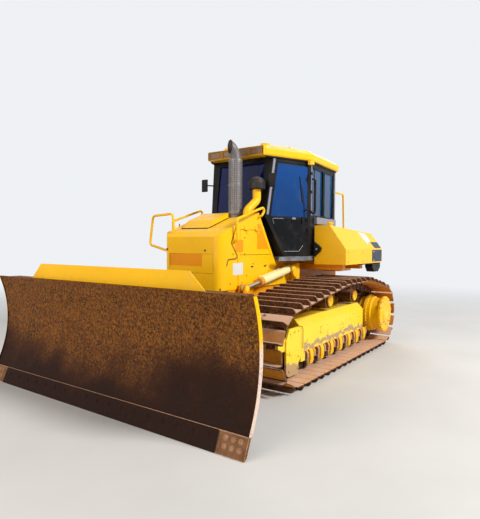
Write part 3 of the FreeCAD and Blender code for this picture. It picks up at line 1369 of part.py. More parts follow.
def build_platform():
    """Floor plate with a step wing beside each door."""
    low, high = d.cab_floor_z - d.platform_thick, d.cab_floor_z
    inner, edge = d.wing_inner_y, tank_inner - d.step_gap
    front, rear = d.hood_heel_x - 20, d.housing_front_x + 5
    tip, knee = d.cab_front_x - d.wing_tip, d.cab_waist_x + 100
    outline = [(front, -inner), (tip, -inner), (knee, -d.cab_waist_half),
               (d.tank_front_x + 5, -edge), (rear, -edge), (rear, edge), (d.tank_front_x + 5, edge),
               (knee, d.cab_waist_half), (tip, inner), (front, inner)]
    plate = prism("platform_plate", "XY", outline, low, high)
    node("platform", plate)
    beams = []
    for x in (d.tank_front_x - 220, d.tank_rear_x + 690):
        for turn in (-1, 1):
            beams.append(block("fender_beam", (x - 60, x + 60),
                               flipped(turn, d.base_half, tank_outer - 120),
                               (d.tank_low - 90, d.tank_low)))
    node("fender_beams", together("fender_beams", beams))


def build_tanks():
    section = [(tank_inner, d.tank_low), (tank_outer, d.tank_low), (tank_outer, d.tank_shoulder_z),
               (tank_inner + d.tank_top_wide, d.tank_high), (tank_inner, d.tank_high)]
    body = prism("tank_body", "YZ", section, d.tank_rear_x, d.tank_front_x)
    above = prism("tank_slope", "XZ", [(d.tank_front_x + 10, d.tank_high),
                                       (d.tank_rear_x - 10, d.tank_high - d.tank_fall),
                                       (d.tank_rear_x - 10, d.tank_high + 50),
                                       (d.tank_front_x + 10, d.tank_high + 50)],
                  tank_inner - 10, tank_outer + 10)
    plain = cut("tank_plain", body, [above])
    node("tank_right", mirrored("tank_right", plain))
    spot = (d.tank_front_x - 130, tank_inner + d.tank_top_wide - 50)
    neck = rod("filler_neck", "z", spot, d.tank_high - 30, d.tank_high + 22, d.filler_radius - 9)
    cap = rod("filler_cap", "z", spot, d.tank_high + 20, d.tank_high + 46, d.filler_radius)
    node("tank_left", fuse("tank_left", [plain, neck, cap]))


def build_seat():
    """Seat, a console at each side of it and the dash ahead, all on the cab's floor."""
    x, half = d.cab_waist_x - 530, d.seat_half
    floor, high = d.cab_floor_z + d.cab_wall, d.seat_high
    base = block("seat_base", (x + 50, x + 420), (-half + 55, half - 55), (floor, high - 120))
    cushion = block("seat_cushion", (x, x + 520), (-half, half), (high - 120, high))
    back = prism("seat_back", "XZ", [(x, high), (x + 130, high), (x + 30, high + d.seat_back),
                                     (x - 80, high + d.seat_back)], -half + 10, half - 10)
    node("operator_seat", fuse("operator_seat", [base, cushion, back]))
    pieces = []
    for turn in (-1, 1):
        low, far = flipped(turn, half + 55, half + 195)
        side = [(x, floor), (x + 620, floor), (x + 700, high + 40), (x, high + 70)]
        pieces.append(prism("console", "XZ", side, low, far))
    x, z = d.cab_front_x - d.dash_setback, d.dash_high
    dash = [(x - 220, floor), (x - 90, floor), (x + 80, z - 100), (x, z)]
    pieces.append(prism("dash", "XZ", dash, -half - 5, half + 5))
    node("controls", together("controls", pieces))


# Rear cooling

def build_cooling():
    half = tank_inner - d.tank_wall
    wall = d.housing_wall
    outer = block("housing_outer", (d.housing_rear_x, d.housing_front_x), (-half, half),
                  (d.housing_low, d.housing_high))
    inner = block("housing_inner", (d.housing_rear_x - 10, d.housing_front_x - wall),
                  (-half + wall, half - wall), (d.housing_low + wall, d.housing_high - wall))
    core_rear = d.housing_front_x - wall - d.core_thick
    core = block("core", (core_rear, d.housing_front_x - wall), (-half + wall, half - wall),
                 (d.housing_low + wall, d.housing_high - wall))
    shaft = rod("fan_shaft", "x", (0, d.fan_z), core_rear - 60, core_rear + 5, 30)
    node("radiator_core", fuse("radiator_core", [core, shaft]))
    x = core_rear.value - 60.3
    hub = Part.makeCylinder(d.fan_hub_radius.value, 70, Vector(x, 0, d.fan_z.value), Vector(-1, 0, 0))
    blades = []
    for i in range(7):
        blade = Part.makeBox(12, 130, d.fan_radius.value - d.fan_hub_radius.value + 20,
                             Vector(-6, -65, d.fan_hub_radius.value - 20))
        blade.rotate(Vector(), Vector(0, 0, 1), 25)
        blade.translate(Vector(x - 35, 0, d.fan_z.value))
        blade.rotate(Vector(x, 0, d.fan_z.value), Vector(1, 0, 0), i * 360 / 7)
        blades.append(blade)
    node("fan", shaped("fan", hub.fuse(blades)))
    gap = d.door_gap
    y_low, y_high = -half + wall + gap, half - wall - gap
    z_low, z_high = d.housing_low + wall + gap, d.housing_high - wall - gap
    leaf = block("rear_leaf", (d.housing_rear_x, d.housing_rear_x + 30), (y_low, y_high),
                 (z_low, z_high))
    slots = []
    for i in range(11):
        z = z_low + 62 + i * 44
        for low, high in ((y_low + 60, -25), (25, y_high - 60)):
            slots.append(block("slot", (d.housing_rear_x - 5, d.housing_rear_x + 35), (low, high),
                               (z, z + 24)))
    x_axis = d.housing_rear_x.value - d.hinge_offset.value
    y_axis = (half - wall - gap / 2).value
    moving, fixed = hinge((x_axis, y_axis, 0), (0, 0, 1), (0, -1, 0), (1, 0, 0), (1340, 1740))
    node("rear_grille", fuse("rear_grille", [cut("grille_leaf", leaf, slots),
                                             shaped("grille_hinges", Part.makeCompound(moving))]))
    node("radiator_housing", fuse("radiator_housing", [cut("housing", outer, [inner]),
                                                       shaped("housing_hinges",
                                                              Part.makeCompound(fixed))]))


def build_handrails():
    """Bent rails along the hood and behind the cab, and the loop at the hood's right front."""
    bars = []
    half = d.hood_wide.value / 2
    out = 60
    for turn in (-1, 1):
        y = turn * (half + out)
        foot = turn * (half - 0.5)
        front, rear = d.hood_front_x.value - 270, d.hood_rear_x.value + 20
        low, high = d.hood_front_z.value - 125, d.hood_rear_z.value + 30
        bars.append(tube([(front, foot, low), (front, y, low), (front + 15, y, low + 280),
                          (rear + 100, y, high), (rear - 130, y, high + 65), (rear, y, high - 75),
                          (rear, foot, high - 95)], d.rail_tube.value, 35))
        side = turn * (d.cab_rear_half.value - 10)
        top = d.cab_floor_z.value + 1080
        bars.append(tube([(d.cab_rear_x.value + 60, side, top), (d.cab_rear_x.value - 390, side, top),
                          (d.cab_rear_x.value - 430, side, d.housing_high.value - 20)],
                         d.rail_tube.value, 60))
    front = d.hood_front_x.value - 80
    bars.append(tube([(front, 25 - half, 1605), (front, -half - 330, 1690), (front, -half - 270, 2090),
                      (front, 100 - half, 2110), (front, 130 - half, 1880)], d.rail_tube.value, 50))
    solids = hood_solid(0).fuse([cab_solid(0), Part.makeBox(
        d.housing_front_x.value - d.housing_rear_x.value, 2000, d.housing_high.value,
        Vector(d.housing_rear_x.value, -1000, 0))])
    trimmed = [bar.cut(solids) for bar in bars]
    node("handrails", shaped("handrails", Part.makeCompound(trimmed)))


def build_cylinder_brackets():
    """Plates on the main frame's sides that hold the lift barrels."""
    pieces = []
    half = d.hood_wide / 2
    pivot_x, pivot_z = d.barrel_pivot_x, d.barrel_pivot_z
    foot, heel = pivot_z - 165, pivot_z + 75
    free = d.lift_eye_wide / 2 + 2
    outer = d.cylinder_y + free + d.bracket_leaf
    for turn in (-1, 1):
        low, high = flipped(turn, half, half + 18)
        plate = [(pivot_x + 790, d.hull_high), (pivot_x + 790, d.hull_high + 90),
                 (pivot_x + 60, pivot_z - 15), (pivot_x + 60, pivot_z + 55),
                 (pivot_x - 200, pivot_z + 55), (pivot_x - 200, d.hull_high)]
        pieces.append(prism("side_plate", "XZ", plate, low, high))
        ear = [(pivot_x - 190, foot), (pivot_x - 20, foot + 50), (pivot_x + 54, pivot_z - 20),
               (pivot_x, pivot_z + d.bracket_round), (pivot_x - 60, pivot_z + d.bracket_round),
               (pivot_x - 190, heel)]
        for near, far in ((half + 18, d.cylinder_y - free), (d.cylinder_y + free, outer)):
            low, high = flipped(turn, near, far)
            pieces.append(prism("ear", "XZ", ear, low, high))
            pieces.append(rod("ear_round", "y", (pivot_x, pivot_z), low, high, d.bracket_round))
        low, high = flipped(turn, half, outer)
        pieces.append(block("ear_root", (pivot_x - 190, pivot_x - 80), (low, high), (foot, heel)))
        low, high = flipped(turn, half + 18, outer)
        pieces.append(rod("barrel_pin", "y", (pivot_x, pivot_z), low, high, d.lift_eye_pin))
    node("cylinder_brackets", fuse("cylinder_brackets", pieces))


BUILDERS = [
    build_tracks, build_idlers, build_sprockets, build_final_drives, build_track_rollers,
    build_carrier_rollers, build_track_frames, build_cross_members, build_main_frame,
    build_drawbar, build_c_frame, build_blade_yoke, build_blade, build_cutting_edge,
    build_spill_guard, build_lift_cylinders, build_angle_cylinders, build_tilt_cylinder,
    build_hood, build_hood_top, build_engine, build_exhaust, build_intake, build_cab,
    build_roof, build_platform, build_tanks, build_seat, build_cooling, build_handrails,
    build_cylinder_brackets,
]
for builder in BUILDERS:
    builder()
doc.recompute()

for item in doc.Objects:
    troubles = [state for state in item.State if state in ("Invalid", "Error")]
    if troubles:
        raise RuntimeError("%s is %s" % (item.Label, troubles))
for name, item in NODES.items():
    if item.Shape.isNull() or not item.Shape.isValid() or item.Shape.Volume <= 0:
        raise RuntimeError(name + " has no sound shape")
    item.Shape.exportStep("parts/%s.step" % name)
whole = Part.makeCompound([item.Shape for item in NODES.values()]).BoundBox
print("nodes", len(NODES), "box", [round(v, 1) for v in (whole.XMin, whole.XMax, whole.YMin,
                                                          whole.YMax, whole.ZMin, whole.ZMax)])
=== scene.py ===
import bmesh
import bpy
import math
import random
from itertools import product
from mathutils import Matrix, Vector


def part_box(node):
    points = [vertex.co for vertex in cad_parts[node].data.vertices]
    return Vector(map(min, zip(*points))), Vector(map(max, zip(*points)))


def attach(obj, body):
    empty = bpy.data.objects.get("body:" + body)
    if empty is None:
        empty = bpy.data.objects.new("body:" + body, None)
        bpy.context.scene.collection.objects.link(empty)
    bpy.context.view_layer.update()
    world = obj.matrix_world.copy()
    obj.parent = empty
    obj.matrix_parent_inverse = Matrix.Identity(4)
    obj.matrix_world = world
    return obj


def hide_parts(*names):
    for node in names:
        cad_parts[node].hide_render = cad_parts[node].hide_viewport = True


# Bulldozer dressed for its picture, in metres: X forward, Y to the left, Z up.

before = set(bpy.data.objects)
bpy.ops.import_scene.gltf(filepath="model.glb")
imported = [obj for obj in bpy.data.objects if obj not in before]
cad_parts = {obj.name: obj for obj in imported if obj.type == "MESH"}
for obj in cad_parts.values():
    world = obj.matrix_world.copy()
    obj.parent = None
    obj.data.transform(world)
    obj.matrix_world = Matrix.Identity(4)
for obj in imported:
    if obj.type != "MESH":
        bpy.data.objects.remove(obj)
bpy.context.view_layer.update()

# Camera solved from the photograph: place, turn to the left, dip, roll, and focal length
CAMERA_PLACE = (5.637, 3.897, 1.688)
CAMERA_YAW = 34.869
CAMERA_DIP = 1.763
CAMERA_ROLL = 0.377
SENSOR_WIDTH = 36.0
FOCAL_LENGTH = 34.34

SIDES = (("left", 1), ("right", -1))
BLADE_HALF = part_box("blade")[1][1]


# Nodes of the materials

class Nodes:
    """Short way to write a material's nodes."""

    def __init__(self, name):
        self.material = bpy.data.materials.new(name)
        self.material.use_nodes = True
        self.tree = self.material.node_tree
        self.shader = self.tree.nodes["Principled BSDF"]
        self.spot = self.add("TexCoord", "Object")

    def feed(self, socket, value):
        """Links or sets one input."""
        if isinstance(value, bpy.types.NodeSocket):
            self.tree.links.new(value, socket)
        else:
            socket.default_value = value

    def add(self, kind, output, feeds=None, **settings):
        """Makes a node, sets it up, feeds its inputs and gives one of its outputs."""
        made = self.tree.nodes.new("ShaderNode" + kind)
        for key, value in settings.items():
            setattr(made, key, value)
        for key, value in (feeds or {}).items():
            self.feed(made.inputs[key], value)
        return made.outputs[output]

    def stretched(self, *scale):
        """The spot, scaled by a different factor on each axis."""
        return self.add("Mapping", "Vector", {"Vector": self.spot, "Scale": scale})

    def noise(self, scale, detail=4.0, rough=0.55, at=None, twist=0.0):
        """Cloudy value between 0 and 1."""
        return self.add("TexNoise", "Fac", {"Vector": at or self.spot, "Scale": scale, "Detail": detail,
                                            "Roughness": rough, "Distortion": twist})

    def cells(self, scale, at=None):
        """Distance to the middle of a cell."""
        return self.add("TexVoronoi", "Distance", {"Vector": at or self.spot, "Scale": scale})

    def ramp(self, value, low, high, start=0.0, end=1.0):
        """Value spread smoothly from start to end between low and high."""
        feeds = {"Value": value, "From Min": low, "From Max": high, "To Min": start, "To Max": end}
        return self.add("MapRange", "Result", feeds, interpolation_type="SMOOTHSTEP")

    def maths(self, kind, one, two=0.0):
        return self.add("Math", "Value", {0: one, 1: two}, operation=kind)

    def times(self, one, two):
        return self.maths("MULTIPLY", one, two)

    def mix(self, share, one, two):
        """Colour between one and two."""
        return self.add("Mix", "Result", {"Factor": share, "A": one, "B": two}, data_type="RGBA")

    def along(self, axis, vector=None):
        """One value of a vector, or of the spot."""
        return self.add("SeparateXYZ", axis, {"Vector": vector or self.spot})

    def normal(self, kind="Normal"):
        return self.add("NewGeometry", kind)

    def upward(self):
        """1 where the surface faces up, 0 where it is upright or faces down."""
        return self.ramp(self.along("Z", self.normal()), 0.25, 0.9)

    def edges(self, radius=0.006):
        """1 along sharp edges."""
        rounded = self.add("Bevel", "Normal", {"Radius": radius}, samples=4)
        agree = self.add("VectorMath", "Value", {0: rounded, 1: self.normal()},
                         operation="DOT_PRODUCT")
        return self.ramp(agree, 0.99, 0.90)

    def bump(self, height, strength, distance):
        """Raises the surface by a height."""
        feeds = {"Strength": strength, "Distance": distance, "Height": height}
        self.feed(self.shader.inputs["Normal"], self.add("Bump", "Normal", feeds))

    def finish(self, colour, roughness, metallic=0.0, **fixed):
        """Feeds the shader and gives the material."""
        fixed.update({"Base Color": colour, "Roughness": roughness, "Metallic": metallic})
        for name, value in fixed.items():
            self.feed(self.shader.inputs[name.replace("_", " ")], value)
        return self.material


def tone(red, green, blue):
    return (red, green, blue, 1.0)


def darker(colour, share):
    return tone(*(value * share for value in colour[:3]))


YELLOW = tone(0.95, 0.53, 0.004)
# Yellow paint darkened into painted shade, for frames, recesses and parts in shade
SHADED_YELLOW = tone(0.84, 0.31, 0.003)
FRAME_YELLOW = tone(0.95, 0.68, 0.035)
BARREL_YELLOW = tone(0.93, 0.80, 0.42)
CHIP_STEEL = tone(0.16, 0.12, 0.09)
WORN_BLACK = tone(0.16, 0.15, 0.15)
BLACK = tone(0.005, 0.005, 0.006)
DUST = tone(0.46, 0.36, 0.29)
CAKED_DUST = tone(0.36, 0.235, 0.185)
TAN_DUST = tone(0.66, 0.42, 0.29)
GLASS_DUST = tone(0.45, 0.50, 0.55)
RUBBED_RUST = tone(0.66, 0.42, 0.30)
RUST_DARK = tone(0.014, 0.004, 0.002)
RUST_BROWN = tone(0.085, 0.026, 0.008)
RUST_ORANGE = tone(0.27, 0.095, 0.010)
RUST_YELLOW = tone(0.42, 0.22, 0.06)
RUST_PLUM = tone(0.040, 0.008, 0.008)
STRIP_PINK = tone(0.75, 0.58, 0.48)
PALE_SKY = tone(0.86, 0.88, 0.91)
PAINT_SHEEN = 0.22


def paint(name, colour, dust_top, wear=0.5, dust_foot=-1.0, mud_top=-1.0, band_front=None):
    """Gloss machine paint with chips at its edges and dust in a band low down and on ledges."""
    n = Nodes(name)
    shade = n.mix(n.ramp(n.noise(2.3, 5.0), 0.35, 0.7, 0.0, 0.35), colour, darker(colour, 0.84))
    streak = n.noise(1.0, 6.0, 0.6, at=n.stretched(9.0, 9.0, 0.9))
    shade = n.mix(n.ramp(streak, 0.58, 0.78, 0.0, 0.12), shade, DUST)
    ragged = n.maths("ADD", n.along("Z"), n.ramp(n.noise(5.0, 8.0, 0.7), 0.3, 0.7, -0.07, 0.07))
    low = n.times(n.ramp(ragged, dust_top + 0.02, dust_top - 0.02, 0.0, 0.85),
                  n.ramp(ragged, dust_foot - 0.01, dust_foot + 0.02))
    if band_front:
        low = n.times(low, n.ramp(n.along("X"), band_front + 0.02, band_front - 0.02))
    low = n.maths("MAXIMUM", low, n.ramp(ragged, mud_top + 0.01, mud_top - 0.01, 0.0, 0.8))
    ledge = n.times(n.upward(), n.ramp(n.noise(7.0, 8.0, 0.65), 0.46, 0.70, 0.02, 0.26))
    shade = n.mix(low, n.mix(ledge, shade, DUST), CAKED_DUST)
    chip = n.times(n.edges(), n.ramp(n.noise(38.0, 6.0, 0.7), 0.50 + 0.1 * (1 - wear), 0.64))
    scar = n.ramp(n.noise(22.0, 9.0, 0.75, twist=0.6), 0.71, 0.74, 0.0, wear)
    worn = n.maths("MAXIMUM", chip, scar)
    rough = n.maths("ADD", n.maths("MAXIMUM", n.times(low, 0.5), n.times(ledge, 0.5)),
                    n.ramp(n.noise(12.0, 5.0), 0.3, 0.7, 0.26, 0.40))
    n.bump(n.maths("SUBTRACT", n.times(n.noise(140.0, 2.0), 0.25), worn), 0.25, 0.0015)
    return n.finish(n.mix(worn, shade, CHIP_STEEL), rough, Specular_IOR_Level=PAINT_SHEEN)


def rusted_plate(name, pale=0.6):
    """Rubbed moldboard steel: golden strokes on brown high up, near black low down."""
    n = Nodes(name)
    mottle = n.noise(4.0, 12.0, 0.72)
    fine = n.noise(34.0, 11.0, 0.80)
    rise = n.maths("ADD", n.along("Z"), n.ramp(n.noise(1.2, 5.0), 0.3, 0.7, -0.22, 0.22))
    high = n.ramp(rise, 0.30, 0.95)
    shade = n.mix(n.ramp(rise, 0.20, 0.90), RUST_DARK, RUST_BROWN)
    shade = n.mix(n.ramp(mottle, 0.40, 0.66, 0.0, 0.7), shade, RUST_DARK)
    shade = n.mix(n.times(n.ramp(fine, 0.47, 0.58), n.ramp(high, 0.0, 1.0, 0.03, 0.85)), shade,
                  RUST_ORANGE)
    stroke = n.noise(1.0, 9.0, 0.78, at=n.stretched(75.0, 120.0, 48.0))
    speck = n.times(n.ramp(stroke, 0.53, 0.58), n.maths("ADD", n.times(high, 0.90), 0.02))
    shade = n.mix(n.times(speck, pale), shade, RUST_YELLOW)
    blot = n.noise(1.0, 9.0, 0.75, at=n.stretched(31.0, 43.0, 27.0))
    shade = n.mix(n.ramp(blot, 0.55, 0.62, 0.0, 0.75), shade, RUST_PLUM)
    end = n.ramp(n.maths("ABSOLUTE", n.along("Y")), BLADE_HALF - 0.006, BLADE_HALF - 0.003)
    strip_paint = n.mix(n.ramp(rise, 0.95, 0.70), YELLOW, STRIP_PINK)
    strip_paint = n.mix(n.ramp(fine, 0.55, 0.62, 0.0, 0.7), strip_paint, RUST_BROWN)
    n.bump(n.maths("ADD", fine, n.times(mottle, 1.5)), 0.5, 0.003)
    return n.finish(n.mix(end, shade, strip_paint), n.ramp(fine, 0.35, 0.65, 0.48, 0.75),
                    Specular_IOR_Level=0.10)


def track_steel(name, dusty=0.95, base=RUST_BROWN, rust=0.6, dark=1.0):
    """Rusted steel: dusty tan on top, dark on the sides, rubbed at the edges."""
    n = Nodes(name)
    mottle = n.noise(9.0, 10.0, 0.7)
    shade = n.mix(n.ramp(mottle, 0.40, 0.72, 0.0, dark), base, RUST_DARK)
    shade = n.mix(n.ramp(n.noise(45.0, 8.0, 0.7), 0.48, 0.62, 0.0, rust), shade, RUST_ORANGE)
    dust = n.times(n.upward(), n.ramp(n.noise(6.0, 8.0, 0.7), 0.28, 0.52, 0.55 * dusty, dusty))
    rubbed = n.times(n.edges(0.008), n.ramp(n.noise(25.0, 5.0), 0.3, 0.6, 0.3, 0.9))
    shade = n.mix(rubbed, n.mix(dust, shade, TAN_DUST), RUBBED_RUST)
    n.bump(n.maths("ADD", mottle, n.noise(70.0, 6.0)), 0.45, 0.002)
    return n.finish(shade, n.ramp(mottle, 0.3, 0.7, 0.5, 0.8), n.times(rubbed, 0.4),
                    Specular_IOR_Level=0.25)


def dark_paint(name, colour=BLACK, dusty=0.16):
    """Satin dark paint with dust on its ledges."""
    n = Nodes(name)
    grain = n.noise(18.0, 7.0, 0.65)
    ledge = n.times(n.upward(), n.ramp(grain, 0.4, 0.66, 0.02, dusty))
    shade = n.mix(n.ramp(n.noise(3.0, 5.0), 0.4, 0.7, 0.0, 0.03), colour, DUST)
    shade = n.mix(n.times(n.edges(0.004), n.ramp(grain, 0.45, 0.6, 0.0, 0.25)),
                  n.mix(ledge, shade, DUST), WORN_BLACK)
    n.bump(n.noise(180.0, 2.0), 0.15, 0.0008)
    return n.finish(shade, n.ramp(grain, 0.3, 0.7, 0.32, 0.5), Specular_IOR_Level=0.14)


def bare_steel(name, colour, low=0.18, high=0.34):
    """Turned or plated steel with a faint grain and a film of dust."""
    n = Nodes(name)
    film = n.noise(14.0, 6.0, 0.65)
    n.bump(n.noise(1.0, 3.0, at=n.stretched(220.0, 220.0, 220.0)), 0.08, 0.0005)
    return n.finish(n.mix(n.ramp(film, 0.55, 0.75, 0.0, 0.35), colour, TAN_DUST),
                    n.ramp(film, 0.3, 0.7, low, high), 0.95)


def glazing(name, colour, front, through=0.55):
    """Tinted pane with a film of dust, darker towards the bottom, with painted shade where it faces
    forward.
    """
    n = Nodes(name)
    film = n.ramp(n.noise(5.0, 8.0, 0.7), 0.50, 0.80, 0.0, 0.05)
    # Painted shade: faces turned forward take the darker front colour
    ahead = n.ramp(n.maths("ABSOLUTE", n.along("X", n.normal("True Normal"))), 0.6, 0.8)
    shade = n.mix(n.ramp(n.along("Z"), 2.2, 2.9), darker(colour, 0.75), colour)
    shade = n.mix(film, n.mix(ahead, shade, front), GLASS_DUST)
    return n.finish(shade, n.ramp(n.noise(30.0, 6.0), 0.4, 0.7, 0.02, 0.07),
                    Specular_IOR_Level=0.18, Transmission_Weight=through, IOR=1.45)


def cloth(name):
    """Dark woven seat cloth."""
    n = Nodes(name)
    shade = n.mix(n.ramp(n.noise(30.0, 6.0), 0.35, 0.7), tone(0.018, 0.018, 0.02),
                  tone(0.055, 0.055, 0.06))
    n.bump(n.times(n.cells(420.0), n.cells(420.0, n.stretched(1.0, 0.5, 1.0))), 0.6, 0.002)
    return n.finish(shade, 0.9)


def ground_paint(name):
    """Grey non-slip paint, scuffed."""
    n = Nodes(name)
    shade = n.mix(n.ramp(n.noise(8.0, 8.0, 0.7), 0.4, 0.65), tone(0.10, 0.115, 0.135),
                  tone(0.25, 0.27, 0.30))
    shade = n.mix(n.times(n.upward(), n.ramp(n.noise(5.0, 8.0), 0.45, 0.65, 0.0, 0.6)), shade, DUST)
    n.bump(n.cells(260.0), 0.6, 0.0015)
    return n.finish(shade, 0.62, 0.1)


def plain_iron(name, colour, rough=0.55, metallic=0.2):
    """Mottled iron or sheet metal."""
    n = Nodes(name)
    grain = n.noise(28.0, 7.0, 0.7)
    n.bump(grain, 0.3, 0.0015)
    return n.finish(n.mix(n.ramp(grain, 0.4, 0.7, 0.0, 0.5), colour, darker(colour, 0.5)),
                    n.ramp(grain, 0.3, 0.7, rough - 0.1, rough + 0.15), metallic)


def lamp_glass(name, colour):
    """Glossy lens with darker facets; the brown of the work lamps' lenses is a painted reflection."""
    n = Nodes(name)
    facet = n.cells(90.0)
    n.bump(facet, 0.25, 0.001)
    return n.finish(n.mix(n.ramp(facet, 0.1, 0.6), colour, darker(colour, 0.55)), 0.08,
                    Coat_Weight=0.6)


# Look: its slot in the record, what makes it, its name, and what else that takes
LOOKS = {
    "yellow": ("yellow_paint", paint, "yellow_machine_paint", YELLOW, 0.15, 0.35),
    "frame_yellow": ("yellow_paint", paint, "dusty_machine_paint", FRAME_YELLOW, 0.43, 0.4, 0.345,
                     0.24, 0.42),
    "pale": ("barrel_paint", paint, "pale_barrel_paint", BARREL_YELLOW, 0.2),
    "moldboard": ("worn_steel", rusted_plate, "rusted_moldboard"),
    "edge": ("worn_steel", rusted_plate, "rusted_edge", 0.3),
    "end_bit": ("worn_steel", track_steel, "worn_end_bit", 0.35, tone(0.17, 0.070, 0.022), 0.6, 0.5),
    "plow_bolt": ("worn_steel", track_steel, "plow_bolt_steel", 0.3, tone(0.24, 0.11, 0.05), 0.4),
    "track": ("track_steel", track_steel, "track_steel"),
    "black": ("black_paint", dark_paint, "black_paint"),
    "plastic": ("console_plastic", dark_paint, "dark_plastic", tone(0.02, 0.02, 0.022), 0.2),
    "chrome": ("chrome_rod", bare_steel, "chrome_rod", tone(0.62, 0.60, 0.58), 0.12, 0.25),
    "shield": ("exhaust_steel", plain_iron, "heat_shield", tone(0.20, 0.19, 0.19), 0.45, 0.6),
    "shoe_face": ("track_steel", track_steel, "rubbed_shoe_face", 0.97, tone(0.66, 0.24, 0.012), 0.3,
                  0.35),
    "pipe": ("exhaust_steel", plain_iron, "exhaust_pipe", tone(0.16, 0.14, 0.14), 0.5, 0.5),
    # Each pane's second colour is painted shade for its faces turned forward
    "glass": ("tinted_glass", glazing, "tinted_glass", tone(0.02, 0.12, 0.32),
              tone(0.006, 0.016, 0.15)),
    "door_glass": ("tinted_glass", glazing, "door_glass", tone(0.004, 0.062, 0.26),
                   tone(0.004, 0.014, 0.08), 0.15),
    "dark_glass": ("tinted_glass", glazing, "dark_glass", tone(0.003, 0.003, 0.005),
                   tone(0.003, 0.003, 0.005), 0.10),
    "cloth": ("seat_cloth", cloth, "seat_cloth"),
    "platform": ("platform_grey", ground_paint, "platform_grey"),
    "iron": ("engine_iron", plain_iron, "engine_iron", tone(0.16, 0.16, 0.15)),
    "fins": ("core_aluminium", plain_iron, "cooling_fins", tone(0.05, 0.05, 0.055), 0.5, 0.4),
    # Brown lens colour: painted reflection
    "lens": ("lamp_lens", lamp_glass, "lamp_lens", tone(0.34, 0.17, 0.075)),
    # Painted shade: the yellow lamp housing darkened to brown under the roof's edge
    "lamp_case": ("lamp_lens", paint, "lamp_case_paint", tone(0.30, 0.15, 0.02), 0.2, 0.4),
    "red_lens": ("lamp_lens", lamp_glass, "red_lens", tone(0.45, 0.03, 0.02)),
    # Painted shade: the yellow paint made darker
    "orange": ("yellow_paint", paint, "shaded_machine_paint", SHADED_YELLOW, 0.3, 0.3),
    "end_strip": ("worn_steel", rusted_plate, "rubbed_end_paint"),
    "bright": ("worn_steel", bare_steel, "rubbed_weld", tone(0.34, 0.20, 0.12), 0.4, 0.6),
    "link": ("track_steel", track_steel, "link_steel", 0.30, tone(0.060, 0.020, 0.011), 0.4),
    "rubber": ("cap_plastic", dark_paint, "black_rubber", tone(0.008, 0.008, 0.009), 0.25),
    # Dark strips and discs of painted shade, for gaps and holes
    "seam": ("yellow_paint", dark_paint, "seam_shadow", tone(0.30, 0.13, 0.004), 0.05),
    "grey": ("platform_grey", dark_paint, "grey_trim", tone(0.26, 0.26, 0.30), 0.3),
    "slate": ("platform_grey", dark_paint, "slate_panel", tone(0.030, 0.045, 0.075), 0.2),
    "plate": ("barrel_paint", dark_paint, "blank_plate_paint", tone(0.68, 0.68, 0.68), 0.2),
    "screen": ("console_plastic", dark_paint, "screen_glass", tone(0.01, 0.02, 0.03), 0.1),
}
MATERIALS = {look: make(*values) for look, (slot, make, *values) in LOOKS.items()}

# Look: the CAD nodes that wear it
NODE_LOOKS = {
    "yellow": "hood_nose hood_rear engine_door_left engine_door_right hood_top intake_pipe cab_roof "
              "tank_left tank_right handrails cylinder_brackets final_drives radiator_housing "
              "rear_grille spill_guard angle_barrel_left angle_barrel_right tilt_barrel",
    # Frames worn in the darker yellow of painted shade
    "orange": "main_frame fender_beams c_frame",
    "frame_yellow": "track_frame_left track_frame_right pivot_shaft equalizer_bar drawbar blade_yoke",
    "pale": "lift_barrels",
    "moldboard": "blade",
    "edge": "cutting_edges",
    "end_bit": "end_bits",
    "track": "track_left track_right idlers sprockets track_rollers carrier_rollers",
    "black": "cab_frame cab_door_left cab_door_right",
    "lamp_case": "work_lamps",
    "plastic": "intake_cap controls fan",
    "chrome": "lift_rods angle_rod_left angle_rod_right tilt_rod",
    "pipe": "exhaust",
    "glass": "cab_glass door_glass_left door_glass_right",
    "cloth": "operator_seat",
    "platform": "platform",
    "iron": "engine_block",
    "fins": "radiator_core",
}


def dress_nodes():
    """Gives each CAD node its look."""
    for look, names in NODE_LOOKS.items():
        for name in names.split():
            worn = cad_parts[name].data.materials
            worn.clear()
            worn.append(MATERIALS[look])


# Forms of the pieces

# How deep trim is let into the face it lies on
SUNK = 0.001
# How deep bolts and caps are let in
LET_IN = 0.0005
# Steps of a rounded corner on a plate, and of a bend in a pipe
CORNER_STEPS, BEND_STEPS = 4, 6

# Axis: how two values across it and one along it make a point
PLACING = {
    "x": lambda a, b, along: Vector((along, a, b)),
    "y": lambda a, b, along: Vector((a, along, b)),
    "z": lambda a, b, along: Vector((a, b, along)),
}


def circle_points(radius, sides):
    return [(radius * math.cos(2 * math.pi * i / sides), radius * math.sin(2 * math.pi * i / sides))
            for i in range(sides)]


def frame_across(way):
    """Two unit vectors at right angles to way."""
    helper = Vector((0, 0, 1)) if abs(way.z) < 0.9 else Vector((1, 0, 0))
    one = way.cross(helper).normalized()
    return one, way.cross(one).normalized()


